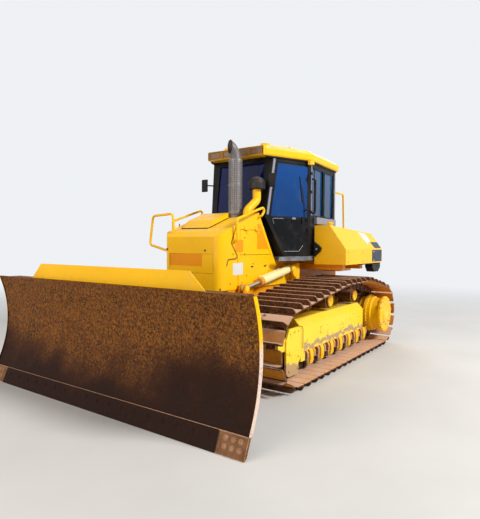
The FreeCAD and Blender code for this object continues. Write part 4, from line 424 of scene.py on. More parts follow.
class Form:
    """Solids gathered into one piece."""

    def __init__(self):
        self.mesh = bmesh.new()

    def loft(self, rings, second=()):
        """Skin through rings of equal counts; the sides listed in second get the second look."""
        made = [[self.mesh.verts.new(spot) for spot in spots] for spots in rings]
        for one, two in zip(made, made[1:]):
            for i in range(len(one)):
                j = (i + 1) % len(one)
                face = self.mesh.faces.new((one[i], one[j], two[j], two[i]))
                face.material_index = 1 if i in second else 0
        self.mesh.faces.new(made[0][::-1])
        self.mesh.faces.new(made[-1])

    def slab(self, place, outline, near, far):
        """Flat solid over an outline, where place makes a point of (a, b, distance out)."""
        self.loft([[place(a, b, out) for a, b in outline] for out in (near, far)])

    def prism(self, axis, outline, low, high):
        """Outline drawn out along an axis."""
        self.slab(PLACING[axis], outline, low, high)

    def box(self, x, y, z):
        self.prism("z", [(x[0], y[0]), (x[1], y[0]), (x[1], y[1]), (x[0], y[1])], *z)

    def strip(self, place, spots, half, far, near=-SUNK):
        """Flat bars of one width from spot to spot."""
        for (x, z), (other_x, other_z) in zip(spots, spots[1:]):
            way = Vector((other_x - x, other_z - z)).normalized()
            side = Vector((-way.y, way.x)) * half
            self.slab(place, [(x + side.x, z + side.y), (x - side.x, z - side.y),
                              (other_x - side.x, other_z - side.y),
                              (other_x + side.x, other_z + side.y)], near, far)

    def bar(self, start, end, radius, sides=12, end_radius=None):
        """Round bar, or a cone where the end's radius differs."""
        start, end = Vector(start), Vector(end)
        one, two = frame_across((end - start).normalized())
        self.loft([[spot + one * u + two * v for u, v in circle_points(size, sides)]
                   for spot, size in ((start, radius), (end, end_radius or radius))])

    def wheel(self, axis, centre, profile, sides=24):
        """Solid turned about an axis, from (distance past the centre, radius) points."""
        a, b, base = centre
        self.loft([[PLACING[axis](a + u, b + v, base + along) for u, v in circle_points(radius, sides)]
                   for along, radius in profile])

    def pipe(self, points, radius, bend=0.03, sides=10):
        """Round bar along straight runs with rounded corners."""
        spots = [Vector(point) for point in points]
        line = [spots[0]]
        for before, spot, after in zip(spots, spots[1:], spots[2:]):
            back, ahead = (before - spot).normalized(), (after - spot).normalized()
            half = back.angle(ahead) / 2
            reach = min(bend / math.tan(half), (before - spot).length * 0.45,
                        (after - spot).length * 0.45)
            for step in range(BEND_STEPS + 1):
                share = step / BEND_STEPS
                enter, leave = spot + back * reach, spot + ahead * reach
                line.append(enter.lerp(spot, share).lerp(spot.lerp(leave, share), share))
        line.append(spots[-1])
        ways = [(b - a).normalized() for a, b in zip(line, line[1:])]
        one = frame_across(ways[0])[0]
        rings = []
        for i, spot in enumerate(line):
            way = (ways[max(i - 1, 0)] + ways[min(i, len(ways) - 1)]).normalized()
            one = (one - way * one.dot(way)).normalized()
            two = way.cross(one)
            rings.append([spot + one * u + two * v for u, v in circle_points(radius, sides)])
        self.loft(rings)

    def bolts(self, spots, way, radius, tall):
        """Hexagon heads on their washers, all facing one way."""
        way = Vector(way).normalized()
        for spot in map(Vector, spots):
            self.bar(spot - way * 0.002, spot + way * 0.003, radius * 1.35, 12)
            self.bar(spot, spot + way * (0.003 + tall), radius, 6)

    def dots(self, spots, y, radius, tall):
        """Flat round heads on a side face, at (x, z) spots."""
        for x, z in spots:
            self.bar((x, y - SUNK, z), (x, y + tall, z), radius)

    def rounded(self, axis, spans, corner, low, high):
        """Plate with rounded corners between two spans, from low to high along the axis."""
        (left, right), (foot, top) = spans
        outline = []
        for a, b, start in ((right - corner, top - corner, 0), (left + corner, top - corner, 1),
                            (left + corner, foot + corner, 2), (right - corner, foot + corner, 3)):
            for i in range(CORNER_STEPS + 1):
                angle = (start + i / CORNER_STEPS) * math.pi / 2
                outline.append((a + corner * math.cos(angle), b + corner * math.sin(angle)))
        self.prism(axis, outline, low, high)

    def panel(self, spans, corner, y, tall):
        """Plate with rounded corners on a side face."""
        self.rounded("y", spans, corner, y - SUNK, y + tall)

    def both_sides(self):
        """Adds the same solids on the other side of the machine."""
        whole = self.mesh.verts[:] + self.mesh.edges[:] + self.mesh.faces[:]
        for part in bmesh.ops.duplicate(self.mesh, geom=whole)["geom"]:
            if isinstance(part, bmesh.types.BMVert):
                part.co.y = -part.co.y
        return self

    def done(self, name, body, look, edge=0.0, replaces=(), angle=35.0, second=None):
        """Makes the piece, rides it on its body, and hides the nodes it stands for."""
        bmesh.ops.recalc_face_normals(self.mesh, faces=self.mesh.faces)
        data = bpy.data.meshes.new(name)
        self.mesh.to_mesh(data)
        self.mesh.free()
        data.polygons.foreach_set("use_smooth", [True] * len(data.polygons))
        data.set_sharp_from_angle(angle=math.radians(angle))
        piece = bpy.data.objects.new(name, data)
        bpy.context.scene.collection.objects.link(piece)
        for worn in filter(None, (look, second)):
            data.materials.append(MATERIALS[worn])
        if edge:
            bevel = piece.modifiers.new("edges", "BEVEL")
            bevel.width = edge
            bevel.segments = 2
            bevel.limit_method = "ANGLE"
            bevel.angle_limit = math.radians(angle)
        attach(piece, body)
        for node in replaces:
            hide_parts(node)
        return piece


# Tracks

SHOE_THICK = 0.016
GROUSER_TALL = 0.065
GROUSER_WEAR = 0.004
PIN_TO_SHOE = 0.058
SHOE_FACE = PIN_TO_SHOE + SHOE_THICK
PIN_TO_RAIL = 0.052
LINK_PITCH = 0.190
RAIL_NEAR, RAIL_MIDDLE, RAIL_FAR = 0.055, 0.076, 0.097
PIN_LOW = GROUSER_TALL + SHOE_THICK + PIN_TO_SHOE
IDLER_X, IDLER_REACH = 0.974, 0.370
SPROCKET_X, SPROCKET_REACH = -2.175, 0.398
DRIVE_Z = PIN_LOW + SPROCKET_REACH
CARRIER_X = (-0.500, -1.450)
CARRIER_PIN_Z = 1.080
CARRIER_RADIUS = 0.1183
TRACK_LOW, TRACK_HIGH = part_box("track_left")
TRACK_Y = (TRACK_LOW[1] + TRACK_HIGH[1]) / 2
SHOE_HALF = (TRACK_HIGH[1] - TRACK_LOW[1]) / 2
# Distance in from a shoe's end, and how far its outline is cut back there
SHOE_ENDS = ((0.0, 0.040), (0.022, 0.006), (0.040, 0.0))
# Sides of the shoe's section that are the plate's outer and inner faces
PLATE_SIDES = (6, 7, 10)


def chain_pins():
    """Pin centres along the chain in X and Z, from under the sprocket forward and round."""
    front = Vector((IDLER_X, PIN_LOW + IDLER_REACH))
    rear = Vector((SPROCKET_X, PIN_LOW + SPROCKET_REACH))
    peaks = [Vector((x, CARRIER_PIN_Z)) for x in CARRIER_X]

    def tangent(peak, centre, radius, side):
        away = peak - centre
        return math.atan2(away.y, away.x) + side * math.acos(radius / away.length)

    def on_circle(centre, radius, angle):
        return centre + Vector((math.cos(angle), math.sin(angle))) * radius

    def straight(start, end):
        length = (end - start).length
        return length, lambda part: start + (end - start) * (part / length)

    def around(centre, radius, start, end):
        return radius * (end - start), lambda part: on_circle(centre, radius, start + part / radius)

    quarter = math.pi / 2
    front_angle = tangent(peaks[0], front, IDLER_REACH, -1)
    rear_angle = tangent(peaks[1], rear, SPROCKET_REACH, 1)
    runs = [
        straight(Vector((SPROCKET_X, PIN_LOW)), Vector((IDLER_X, PIN_LOW))),
        around(front, IDLER_REACH, -quarter, front_angle),
        straight(on_circle(front, IDLER_REACH, front_angle), peaks[0]),
        straight(*peaks),
        straight(peaks[1], on_circle(rear, SPROCKET_REACH, rear_angle)),
        around(rear, SPROCKET_REACH, rear_angle, 3 * quarter),
    ]
    whole = sum(length for length, place in runs)
    count = round(whole / LINK_PITCH)
    pins = []
    for i in range(count):
        along = whole * i / count
        for length, place in runs:
            if along <= length:
                pins.append(place(along))
                break
            along -= length
    return pins


def shoe_section(long, tip):
    """Plate and bar of one shoe, along the chain and outward from the pins."""
    return [(0.004, PIN_TO_SHOE), (0.003, tip - 0.006), (0.007, tip), (0.016, tip),
            (0.021, tip - 0.006), (0.024, SHOE_FACE + 0.012), (0.036, SHOE_FACE + 0.001),
            (long - 0.036, SHOE_FACE), (long - 0.012, SHOE_FACE - 0.003),
            (long - 0.004, PIN_TO_SHOE + 0.006), (long - 0.006, PIN_TO_SHOE)]


def add_shoe(form, spot, long, wear):
    """One shoe, with its corners and the ends of its bar trimmed."""
    tip = SHOE_FACE + GROUSER_TALL - wear
    rows = [(inset - SHOE_HALF, cut) for inset, cut in SHOE_ENDS]
    rows += [(-y, cut) for y, cut in reversed(rows)]
    rings = []
    for y, cut in rows:
        trim = 0.5 * cut
        rings.append([spot(min(max(t, trim * 0.4), long - trim) if n < 0.08 else t, n, y)
                      for t, n in shoe_section(long, tip - cut)])
    form.loft(rings, PLATE_SIDES)


def add_links(form, spot, long):
    """One pitch of both rows of links, with the pin between them and its ends."""
    outer = [(-0.036, -0.028), (-0.020, -PIN_TO_RAIL), (0.105, -PIN_TO_RAIL), (0.105, PIN_TO_SHOE),
             (0.034, PIN_TO_SHOE), (0.012, 0.040), (-0.020, 0.036), (-0.036, 0.016)]
    inner = [(0.085, -PIN_TO_RAIL), (long + 0.018, -PIN_TO_RAIL), (long + 0.036, -0.028),
             (long + 0.036, 0.016), (long + 0.020, 0.036), (long - 0.012, 0.040),
             (long - 0.034, PIN_TO_SHOE), (0.085, PIN_TO_SHOE)]
    for turn in (-1, 1):
        form.slab(spot, outer, turn * RAIL_MIDDLE, turn * RAIL_FAR)
        form.slab(spot, inner, turn * RAIL_NEAR, turn * RAIL_MIDDLE)
    form.bar(spot(0, 0, -RAIL_NEAR), spot(0, 0, RAIL_NEAR), 0.030)
    for turn in (-1, 1):
        form.bar(spot(0, 0, turn * (RAIL_FAR - 0.002)), spot(0, 0, turn * (RAIL_FAR + 0.004)), 0.019)


def build_tracks():
    """Shoes with a tall bar each, bolted to two rows of links on pins."""
    pins = chain_pins()
    chance = random.Random(5)
    for side, turn in SIDES:
        shoes, links, bolts = Form(), Form(), Form()
        for start, end in zip(pins, pins[1:] + pins[:1]):
            long = (end - start).length
            along = (end - start).normalized()
            outward = Vector((along.y, -along.x))

            def spot(t, n, y):
                flat = start + along * t + outward * n
                return Vector((flat.x, turn * (TRACK_Y + y), flat.y))
            add_shoe(shoes, spot, long, chance.uniform(0.0, GROUSER_WEAR))
            add_links(links, spot, long)
            bolts.bolts([spot(t, SHOE_FACE, y) for y in (-RAIL_MIDDLE, RAIL_MIDDLE)
                         for t in (0.070, 0.140)], spot(0, 1, 0) - spot(0, 0, 0), 0.013, 0.011)
        shoes.done("shoes_" + side, "root", "track", 0.0025, ["track_" + side], second="shoe_face")
        links.done("links_" + side, "root", "link", 0.002)
        bolts.done("shoe_bolts_" + side, "root", "link")


def build_drive_bolts():
    """Bolts round the flange and the lobed cover of each final drive, and its plug."""
    form = Form()
    # Radius, offset from the track's middle, count, first angle in degrees, head radius
    for reach, offset, count, first, head in ((0.300, 0.172, 30, 0.0, 0.010),
                                              (0.268, 0.420, 16, 11.25, 0.013),
                                              (0.175, 0.420, 8, 0.0, 0.011)):
        angles = [math.radians(first) + 2 * math.pi * i / count for i in range(count)]
        form.bolts([(SPROCKET_X + reach * math.cos(angle), TRACK_Y + offset,
                     DRIVE_Z + reach * math.sin(angle)) for angle in angles], (0, 1, 0), head, 0.011)
    form.wheel("y", (SPROCKET_X, DRIVE_Z, TRACK_Y), [(0.433, 0.075), (0.438, 0.070)], 32)
    form.bolts([(SPROCKET_X, TRACK_Y + 0.438, DRIVE_Z + 0.045)], (0, 1, 0), 0.014, 0.007)
    form.both_sides().done("drive_bolts", "root", "frame_yellow", 0.001)


def carrier_height(x):
    """Highest axle at which a carrier roller clears the links above it."""
    pins = chain_pins()
    best = PIN_LOW + 10.0
    for start, end in zip(pins, pins[1:]):
        along = (end - start).normalized()
        outward = Vector((along.y, -along.x))
        if outward.y > 0.5:
            spot = start - outward * PIN_TO_RAIL
            rise = (spot.x - x) * outward.x / outward.y + spot.y
            best = min(best, rise - CARRIER_RADIUS / outward.y)
    return best


def build_roller_caps():
    """Painted caps on the outer ends of the carrier rollers."""
    form = Form()
    for x in CARRIER_X:
        z = carrier_height(x)
        form.wheel("y", (x, z, TRACK_Y),
                   [(0.139, 0.086), (0.150, 0.084), (0.158, 0.066), (0.162, 0.030)], 32)
        form.bolts([(x, TRACK_Y + 0.160, z)], (0, 1, 0), 0.014, 0.008)
    form.both_sides().done("carrier_caps", "root", "yellow", 0.0015)


# Blade

BLADE_FOOT = Vector((2.662, 0.170))
BLADE_DEEP = Vector((2.512, 0.7275))
BLADE_TOP = Vector((2.612, 1.285))
EDGE_TIP = Vector((2.744, 0.003))
EDGE_TOP = Vector((2.674, 0.170))
END_BIT_WIDE = 0.290
END_STRIP_STEPS = 16
EDGE_BOLTS = 18
# Ends of the lift cylinders, and how far their barrels reach
LIFT_PIVOT = Vector((-0.450, 0.576, 1.345))
LIFT_EYE = Vector((0.770, 0.576, 1.130))
LIFT_BARREL_LONG = 0.870
# Faces under the pin heads: the ears' outside and inside, and the brackets of the barrels
EAR_OUTSIDE, EAR_INSIDE = 0.6225, 0.5295
LIFT_BRACKET_OUTSIDE = 0.638
ANGLE_PIVOT = (1.280, 0.560)
ANGLE_BRACKET_TOP = 0.634


def circle_through(one, two, three):
    """Centre and radius of the circle through three points."""
    across = 2 * ((one.x - three.x) * (two.y - three.y) - (two.x - three.x) * (one.y - three.y))
    first, second = one.dot(one) - three.dot(three), two.dot(two) - three.dot(three)
    centre = Vector((((two.y - three.y) * first - (one.y - three.y) * second) / across,
                     ((one.x - three.x) * second - (two.x - three.x) * first) / across))
    return centre, (one - centre).length


def blade_face(z):
    """How far forward the moldboard's front is at a height."""
    centre, radius = circle_through(BLADE_FOOT, BLADE_DEEP, BLADE_TOP)
    return centre.x - math.sqrt(radius ** 2 - (z - centre.y) ** 2)


def build_blade_ends():
    """Strip that caps each end of the moldboard, following its curve."""
    form = Form()
    levels = [BLADE_FOOT.y + 0.004 + (BLADE_TOP.y - BLADE_FOOT.y - 0.006) * i / END_STRIP_STEPS
              for i in range(END_STRIP_STEPS + 1)]
    outline = [(blade_face(z) + 0.010, z) for z in levels]
    outline += [(blade_face(z) - 0.040, z) for z in reversed(levels)]
    form.prism("y", outline, BLADE_HALF - 0.012, BLADE_HALF - 0.0002)
    form.both_sides().done("blade_ends", "blade", "end_strip", 0.0015)


def edge_spot(share, y):
    """Point on the front of the cutting edge, by its share of the way up."""
    flat = EDGE_TIP.lerp(EDGE_TOP, share)
    return Vector((flat.x, y, flat.y))


def build_edge_trim():
    """Plow bolts through the edges, black bars of painted shade in the gaps at the end bits, and the
    weld along the top.
    """
    rise = EDGE_TOP - EDGE_TIP
    way = Vector((rise.y, 0, -rise.x)).normalized()
    split = BLADE_HALF - END_BIT_WIDE
    along = [edge_spot(0.66, -split + 0.10 + i * (2 * split - 0.20) / (EDGE_BOLTS - 1))
             for i in range(EDGE_BOLTS)]
    ends = [edge_spot(share, turn * (split + y))
            for turn, y, share in product((-1, 1), (0.075, 0.150, 0.225), (0.40, 0.76))]
    for spots, name, look in ((along, "plow_bolts", "edge"), (ends, "end_bit_bolts", "plow_bolt")):
        form = Form()
        for spot in spots:
            form.bar(spot - way * 0.003, spot + way * 0.003, 0.023, 14)
            form.bar(spot, spot + way * 0.0045, 0.010, 10)
        form.done(name, "blade", look, 0.0008)
    # Painted shade: black bars in the gaps beside the end bits
    gap = Form()
    for turn in (-1, 1):
        foot, head = (edge_spot(share, turn * split) - way * 0.004 for share in (0.06, 0.96))
        gap.bar(foot, head, 0.006, 8)
    gap.done("edge_gap_shade", "blade", "rubber")
    weld = Form()
    top = edge_spot(1.0, 0.0)
    reach = BLADE_HALF - 0.014
    weld.bar((top.x - 0.004, -reach, top.z + 0.003), (top.x - 0.004, reach, top.z + 0.003), 0.0035, 8)
    weld.done("edge_weld", "blade", "bright")


def build_pin_heads():
    """Heads on the pins of the lift cylinders and of the angle cylinders' barrels."""
    eyes = Form()
    eyes.wheel("y", (LIFT_EYE.x, LIFT_EYE.z, EAR_OUTSIDE),
               [(-0.001, 0.042), (0.003, 0.042), (0.005, 0.038)])
    eyes.wheel("y", (LIFT_EYE.x, LIFT_EYE.z, EAR_INSIDE),
               [(0.0, 0.046), (-0.0115, 0.046), (-0.0155, 0.041)])
    eyes.both_sides().done("eye_pins", "c_frame", "frame_yellow", 0.001)
    barrels = Form()
    barrels.wheel("y", (LIFT_PIVOT.x, LIFT_PIVOT.z, LIFT_BRACKET_OUTSIDE),
                  [(-0.001, 0.044), (0.009, 0.044), (0.012, 0.040)])
    barrels.bolts([(LIFT_PIVOT.x, LIFT_BRACKET_OUTSIDE + 0.011, LIFT_PIVOT.z)], (0, 1, 0), 0.011,
                  0.008)
    barrels.both_sides().done("barrel_pins", "root", "frame_yellow", 0.001)
    angles = Form()
    angles.wheel("z", (*ANGLE_PIVOT, ANGLE_BRACKET_TOP),
                 [(-0.001, 0.034), (0.008, 0.034), (0.011, 0.030)], 20)
    angles.bolts([(*ANGLE_PIVOT, ANGLE_BRACKET_TOP + 0.010)], (0, 0, 1), 0.010, 0.007)
    angles.both_sides().done("angle_pins", "c_frame", "frame_yellow", 0.001)


def build_glands():
    """Gland nut, seal ring, ports and pipe on each lift barrel."""
    way = (LIFT_EYE - LIFT_PIVOT).normalized()
    inward = Vector((0.0, -0.72, 0.69)).normalized()
    end = LIFT_PIVOT + way * LIFT_BARREL_LONG
    rings, ports = Form(), Form()
    for near, far, radius in ((-0.060, -0.004, 0.0625), (-0.004, 0.003, 0.050)):
        rings.bar(end + way * near, end + way * far, radius, 36)
    places = [end + way * back for back in (-0.10, -0.60)]
    for place in places:
        base = place + inward * 0.050
        ports.bar(base, base + inward * 0.024, 0.018, 16)
        ports.bolts([base + inward * 0.024], inward, 0.011, 0.008)
    ports.bar(*(place + inward * 0.064 for place in places), 0.008)
    rings.both_sides().done("lift_glands", "lift_barrels", "orange", 0.0015)
    ports.both_sides().done("lift_ports", "lift_barrels", "pale", 0.001)


# Hood and exhaust

HOOD_SIDE = 0.490
HOOD_FRONT_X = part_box("hood_nose")[1][0]
HOOD_REAR_TOP = Vector((0.300, 2.140))
HOOD_FRONT_TOP = Vector((1.080, 1.865))
HOOD_HEEL = Vector((-0.180, 1.410))
# How far the black strip round the raised cover, a seal that also paints the shade at its foot, lies
# off it
SEAL_SHADE_OFF = 0.004
STACK = Vector((0.410, 0.170))
STACK_RADIUS = 0.092
STACK_SHIELD_TOP = 2.890
# Holes round the exhaust's sleeve and up it, and its rows without holes
SLEEVE_COLUMNS, SLEEVE_ROWS = 20, 30
SLEEVE_MIDDLE = SLEEVE_ROWS // 2
SOLID_ROWS = (0, 1, SLEEVE_MIDDLE, SLEEVE_MIDDLE + 1, SLEEVE_ROWS - 2, SLEEVE_ROWS - 1)


def hood_top_z(x):
    """Height of the sloping hood."""
    share = (x - HOOD_FRONT_TOP.x) / (HOOD_REAR_TOP.x - HOOD_FRONT_TOP.x)
    return HOOD_FRONT_TOP.y + share * (HOOD_REAR_TOP.y - HOOD_FRONT_TOP.y)


def build_hood_seams():
    """Dark lines of painted shade along the gaps between the hood's panels, and a black seal round the
    raised cover that also paints the shade at its foot.
    """
    form = Form()

    def on_hood(x, z, out):
        return Vector((x, HOOD_SIDE + out, z))
    # Painted shade along the panel gaps
    form.strip(on_hood, [(0.830, 1.985), (0.850, 1.905), (0.944, 1.719), (0.805, 1.545),
                         (0.850, 1.515), (1.010, 1.507), (1.040, 1.425)], 0.0105, 0.0020)
    form.strip(on_hood, [(0.790, 1.125), (0.790, 1.400), (0.805, 1.545)], 0.0040, 0.0014)
    form.both_sides().done("hood_seam_shadows", "root", "seam")
    # Black strip round the raised cover: its seal, and painted shade where it meets the hood
    gap = Form()
    low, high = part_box("hood_top")
    for y in (low[1] - SEAL_SHADE_OFF, high[1] + SEAL_SHADE_OFF):
        gap.pipe([(x, y, hood_top_z(x) + SEAL_SHADE_OFF) for x in (low[0] + 0.01, high[0] - 0.01)],
                 0.0065, 0.02, 8)
    gap.pipe([(high[0] + SEAL_SHADE_OFF, y, hood_top_z(high[0]) + SEAL_SHADE_OFF) for y in (low[1], high[1])],
             0.0065, 0.02, 8)
    gap.done("hump_seal_shade", "root", "rubber")


def build_hood_face():
    """Panel in the darker yellow of painted shade in the recess of the hood's front, with the plate
    beside and under it.
    """
    plate, panel = Form(), Form()
    face, floor = HOOD_FRONT_X - 0.0003, HOOD_FRONT_X - 0.0145
    left, right, foot, top = -0.366, 0.366, 1.334, 1.576
    split, shelf = 0.190, 1.420
    plate.box((floor, face), (split, right), (foot, top))
    plate.box((floor, face), (left, split), (foot, shelf))
    # Painted shade: darker panel on the recess floor
    panel.box((floor, floor + 0.0035), (left, split - 0.001), (shelf + 0.001, top))
    plate.done("hood_face_plate", "root", "yellow", 0.002)
    panel.done("hood_face_shade_panel", "root", "orange", 0.001)


def build_hood_panels():
    """Access panels in the darker yellow of painted shade ahead of the doors, and the bolts, latches
    and blank plate of the hood.
    """
    panels, dots, latches, plate = Form(), Form(), Form(), Form()
    # Painted shade: darker panels where the sides are recessed
    panels.panel(((0.677, 0.858), (1.603, 1.759)), 0.012, HOOD_SIDE, 0.002)
    panels.both_sides().done("side_shade_panels", "root", "orange", 0.001)
    dots.dots(product((0.640, 0.905), (1.575, 1.790)), HOOD_SIDE, 0.009, 0.004)
    dots.dots([(0.435, 1.440), (0.100, 1.420), (0.590, 1.290), (0.030, 1.330), (0.960, 1.200),
               (0.700, 1.200)], HOOD_SIDE, 0.008, 0.004)
    dots.both_sides()
    dots.bolts([(HOOD_FRONT_X, -0.414, 1.633), (HOOD_FRONT_X, 0.241, 1.621)], (1, 0, 0), 0.010, 0.006)
    dots.done("hood_bolts", "root", "rubber", 0.0008)
    for x in (0.464, 0.131):
        latches.panel(((x - 0.026, x + 0.026), (1.392, 1.412)), 0.009, HOOD_SIDE, 0.005)
    latches.both_sides().done("hood_latches", "root", "rubber", 0.001)
    build_door_panels()
    plate.panel(((0.682, 0.905), (1.306, 1.461)), 0.010, HOOD_SIDE, 0.0015)
    plate.done("blank_plate", "root", "plate", 0.0005)


def build_door_panels():
    """Panel on each engine door in the darker yellow of painted shade, for a pressed recess, its rear
    edge along the hood's slope.
    """
    slope = (HOOD_REAR_TOP - HOOD_HEEL).normalized()
    foot, top, front = 1.640, 1.985, 0.335
    rear_foot, rear_top = (HOOD_HEEL.x + (z - HOOD_HEEL.y) / slope.y * slope.x + 0.065
                           for z in (foot, top))
    for side, turn in SIDES:
        leaf = Form()
        # Painted shade: darker panel over the door's recess
        leaf.prism("y", [(rear_foot, foot), (front, foot), (front, top), (rear_top, top)],
                   *sorted((turn * (HOOD_SIDE - SUNK), turn * (HOOD_SIDE + 0.002))))
        leaf.done("door_shade_panel_" + side, "engine_door_" + side, "orange", 0.001)


def add_sleeve_wall(form, spot):
    """Wall of the sleeve from a grid of points, with an eight-sided hole in each cell."""
    wrap = 2 * SLEEVE_COLUMNS
    grid = {(row, column): form.mesh.verts.new(spot(column / 2, row / 2))
            for row, column in product(range(2 * SLEEVE_ROWS + 1), range(wrap))}
    around = ((0, 0), (0, 1), (0, 2), (1, 2), (2, 2), (2, 1), (2, 0), (1, 0))
    for row, column in product(range(SLEEVE_ROWS), range(SLEEVE_COLUMNS)):
        ring = [grid[2 * row + up, (2 * column + on) % wrap] for up, on in around]
        if row in SOLID_ROWS:
            form.mesh.faces.new(ring)
            continue
        centre = spot(column + 0.5, row + 0.5)
        hole = [form.mesh.verts.new(centre.lerp(vert.co, 0.68 if i % 2 else 0.5))
                for i, vert in enumerate(ring)]
        for i in range(8):
            j = (i + 1) % 8
            form.mesh.faces.new((ring[i], ring[j], hole[j], hole[i]))
    unused = [vert for vert in form.mesh.verts if not vert.link_faces]
    bmesh.ops.delete(form.mesh, geom=unused, context="VERTS")


def build_heat_shield():
    """Perforated sleeve round the exhaust, with bolted bands."""
    low = hood_top_z(STACK.x + STACK_RADIUS) + 0.045
    high = STACK_SHIELD_TOP - 0.004
    radius = STACK_RADIUS + 0.003
    step_z = (high - low) / SLEEVE_ROWS

    def spot(column, row):
        angle = 2 * math.pi * column / SLEEVE_COLUMNS
        return Vector((STACK.x + radius * math.cos(angle), STACK.y + radius * math.sin(angle),
                       low + row * step_z))
    form = Form()
    add_sleeve_wall(form, spot)
    sleeve = form.done("heat_shield", "root", "shield", angle=60.0)
    wall = sleeve.modifiers.new("wall", "SOLIDIFY")
    wall.thickness = 0.0015
    wall.offset = 1.0
    bands = Form()
    away = Vector((0.35, -0.94, 0.0)).normalized()
    for z in (low + step_z, low + (SLEEVE_MIDDLE + 1) * step_z, high - step_z):
        bands.wheel("z", (*STACK, z), [(-0.010, radius + 0.003), (-0.008, radius + 0.005),
                                       (0.008, radius + 0.005), (0.010, radius + 0.003)], 40)
        bands.bolts([Vector((*STACK, z)) + away * (radius + 0.004)], away, 0.008, 0.007)
    bands.done("shield_bands", "root", "shield", 0.0006)


# Cab

DOOR_FRONT = Vector((0.125, 0.480))
WAIST = Vector((-0.650, 0.800))
CAB_REAR = Vector((-1.765, 0.720))
# Cab's front leans back above and below its kink; heights and how far forward they are
CAB_TOP, CAB_KINK, CAB_FOOT = Vector((0.0, 2.960)), Vector((0.120, 2.090)), Vector((-0.190, 1.530))
GUTTER_Z = 2.946
# How deep the door panes reach behind the door's face
PANE_DEEP = 0.0225
# Work lamps over the windscreen, and the foot and the top of their housing
LAMP_Y = (-0.360, -0.120, 0.120, 0.360)
HOUSING_FOOT, HOUSING_TOP = 2.958, 3.090
RIB_COUNT, RIB_STEP = 9, 0.016


def on_side(start, end, x, z, out):
    """Point over the cab's side between two corners, out from its face."""
    way = (end - start).normalized()
    away = Vector((-way.y, way.x))
    if away.y < 0:
        away = -away
    flat = start + (end - start) * ((x - start.x) / (end.x - start.x)) + away * out
    return Vector((flat.x, flat.y, z))


def on_door(x, z, out):
    """Point over the left cab door, out from its face."""
    return on_side(DOOR_FRONT, WAIST, x, z, out)


def on_rear_side(x, z, out):
    """Point over the cab's side behind the door."""
    return on_side(WAIST, CAB_REAR, x, z, out)


def cab_front_x(z):
    """How far forward the cab's front is at a height."""
    end = CAB_TOP if z > CAB_KINK.y else CAB_FOOT
    return CAB_KINK.x + (end.x - CAB_KINK.x) * (z - CAB_KINK.y) / (end.y - CAB_KINK.y)


def build_cab_trim():
    """Pillar strips, gutters, brackets, the box under the side windows and their seals."""
    grey, dark, seal = Form(), Form(), Form()
    grey.strip(on_door, [(cab_front_x(z) - 0.030, z) for z in (2.13, 2.93)], 0.017, 0.004)
    grey.strip(on_rear_side, [(-0.676, 2.150), (-0.676, 2.940)], 0.013, 0.012)
    grey.strip(on_rear_side, [(-1.725, 2.090), (-1.725, 2.930)], 0.020, 0.010)
    for z in (2.20, 2.50, 2.78):
        dark.strip(on_rear_side, [(-0.668, z - 0.020), (-0.668, z + 0.020)], 0.020, 0.022)
    box = [on_rear_side(x, 0, out).to_2d() for x, out in ((-0.820, -0.002), (-0.820, 0.046),
                                                          (-1.640, 0.060), (-1.640, -0.002))]
    grey.prism("z", box, 2.024, 2.128)
    for corners in ((DOOR_FRONT, WAIST), (WAIST, CAB_REAR)):
        dark.bar(*(on_side(*corners, spot.x, GUTTER_Z, 0.006) for spot in corners), 0.011, 8)
    grey.both_sides().done("pillar_strips", "root", "grey", 0.0015)
    dark.both_sides().done("cab_gutters", "root", "rubber", 0.001)
    for low, high in ((-0.80, -1.175), (-1.235, -1.640)):
        seal.pipe([on_rear_side(x, z, 0.002) for x, z in
                   ((low, 2.50), (low, 2.150), (high, 2.150), (high, 2.875), (low, 2.875),
                    (low, 2.50))], 0.006, 0.03, 8)
    seal.both_sides().done("window_seals", "root", "rubber")


def add_pane_border(form):
    """Dark border of the lower pane."""
    form.pipe([on_door(x, z, 0.002) for x, z in
               ((-0.180, 1.605), (-0.455, 1.605), (-0.567, 1.755), (-0.567, 2.085),
                (0.020, 2.085), (-0.215, 1.605))], 0.0035, 0.03, 6)


def add_pane_rim(form):
    """Pale rim at two corners of the lower pane."""
    form.pipe([on_door(x, z, 0.003) for x, z in ((-0.195, 1.606), (-0.452, 1.606), (-0.520, 1.694))],
              0.0055, 0.03, 6)
    form.pipe([on_door(x, z, 0.003) for x, z in ((-0.020, 2.000), (0.008, 2.080), (-0.180, 2.080))],
              0.0045, 0.02, 6)


def add_door_pane(form):
    """Upper pane."""
    form.slab(on_door, [(-0.078, 2.868), (-0.592, 2.868), (-0.592, 2.110), (0.036, 2.110)],
              -PANE_DEEP, 0.004)


def add_lower_pane(form):
    """Lower pane."""
    form.slab(on_door, [(0.030, 2.098), (-0.590, 2.098), (-0.590, 1.752), (-0.476, 1.592),
                        (-0.222, 1.592)], -PANE_DEEP, 0.001)


def add_wiper(form):
    """Pivot, arm and blade of the wiper."""
    pivot, tip = on_door(-0.545, 2.215, 0.018), on_door(-0.462, 2.700, 0.016)
    form.bar(on_door(-0.545, 2.215, -0.001), on_door(-0.545, 2.215, 0.022), 0.014, 14)
    form.pipe([pivot, pivot.lerp(tip, 0.25) + Vector((0, 0, 0.01)), pivot.lerp(tip, 0.72)], 0.0045,
              0.03, 8)
    form.strip(on_door, [(-0.505, 2.330), (-0.452, 2.715)], 0.006, 0.014, 0.0045)


def add_handle(form):
    """Grab bar and its plate."""
    form.pipe([on_door(-0.562, z, out) for z, out in
               ((2.070, 0.000), (2.070, 0.048), (2.235, 0.048), (2.235, 0.000))], 0.009, 0.02)
    form.strip(on_door, [(-0.520, 2.015), (-0.520, 2.120)], 0.022, 0.016)


def add_lock(form):
    """Lock between the panes."""
    form.strip(on_door, [(-0.355, 2.075), (-0.355, 2.103)], 0.030, 0.010)
    form.bar(on_door(-0.355, 2.089, 0.008), on_door(-0.355, 2.089, 0.014), 0.008)


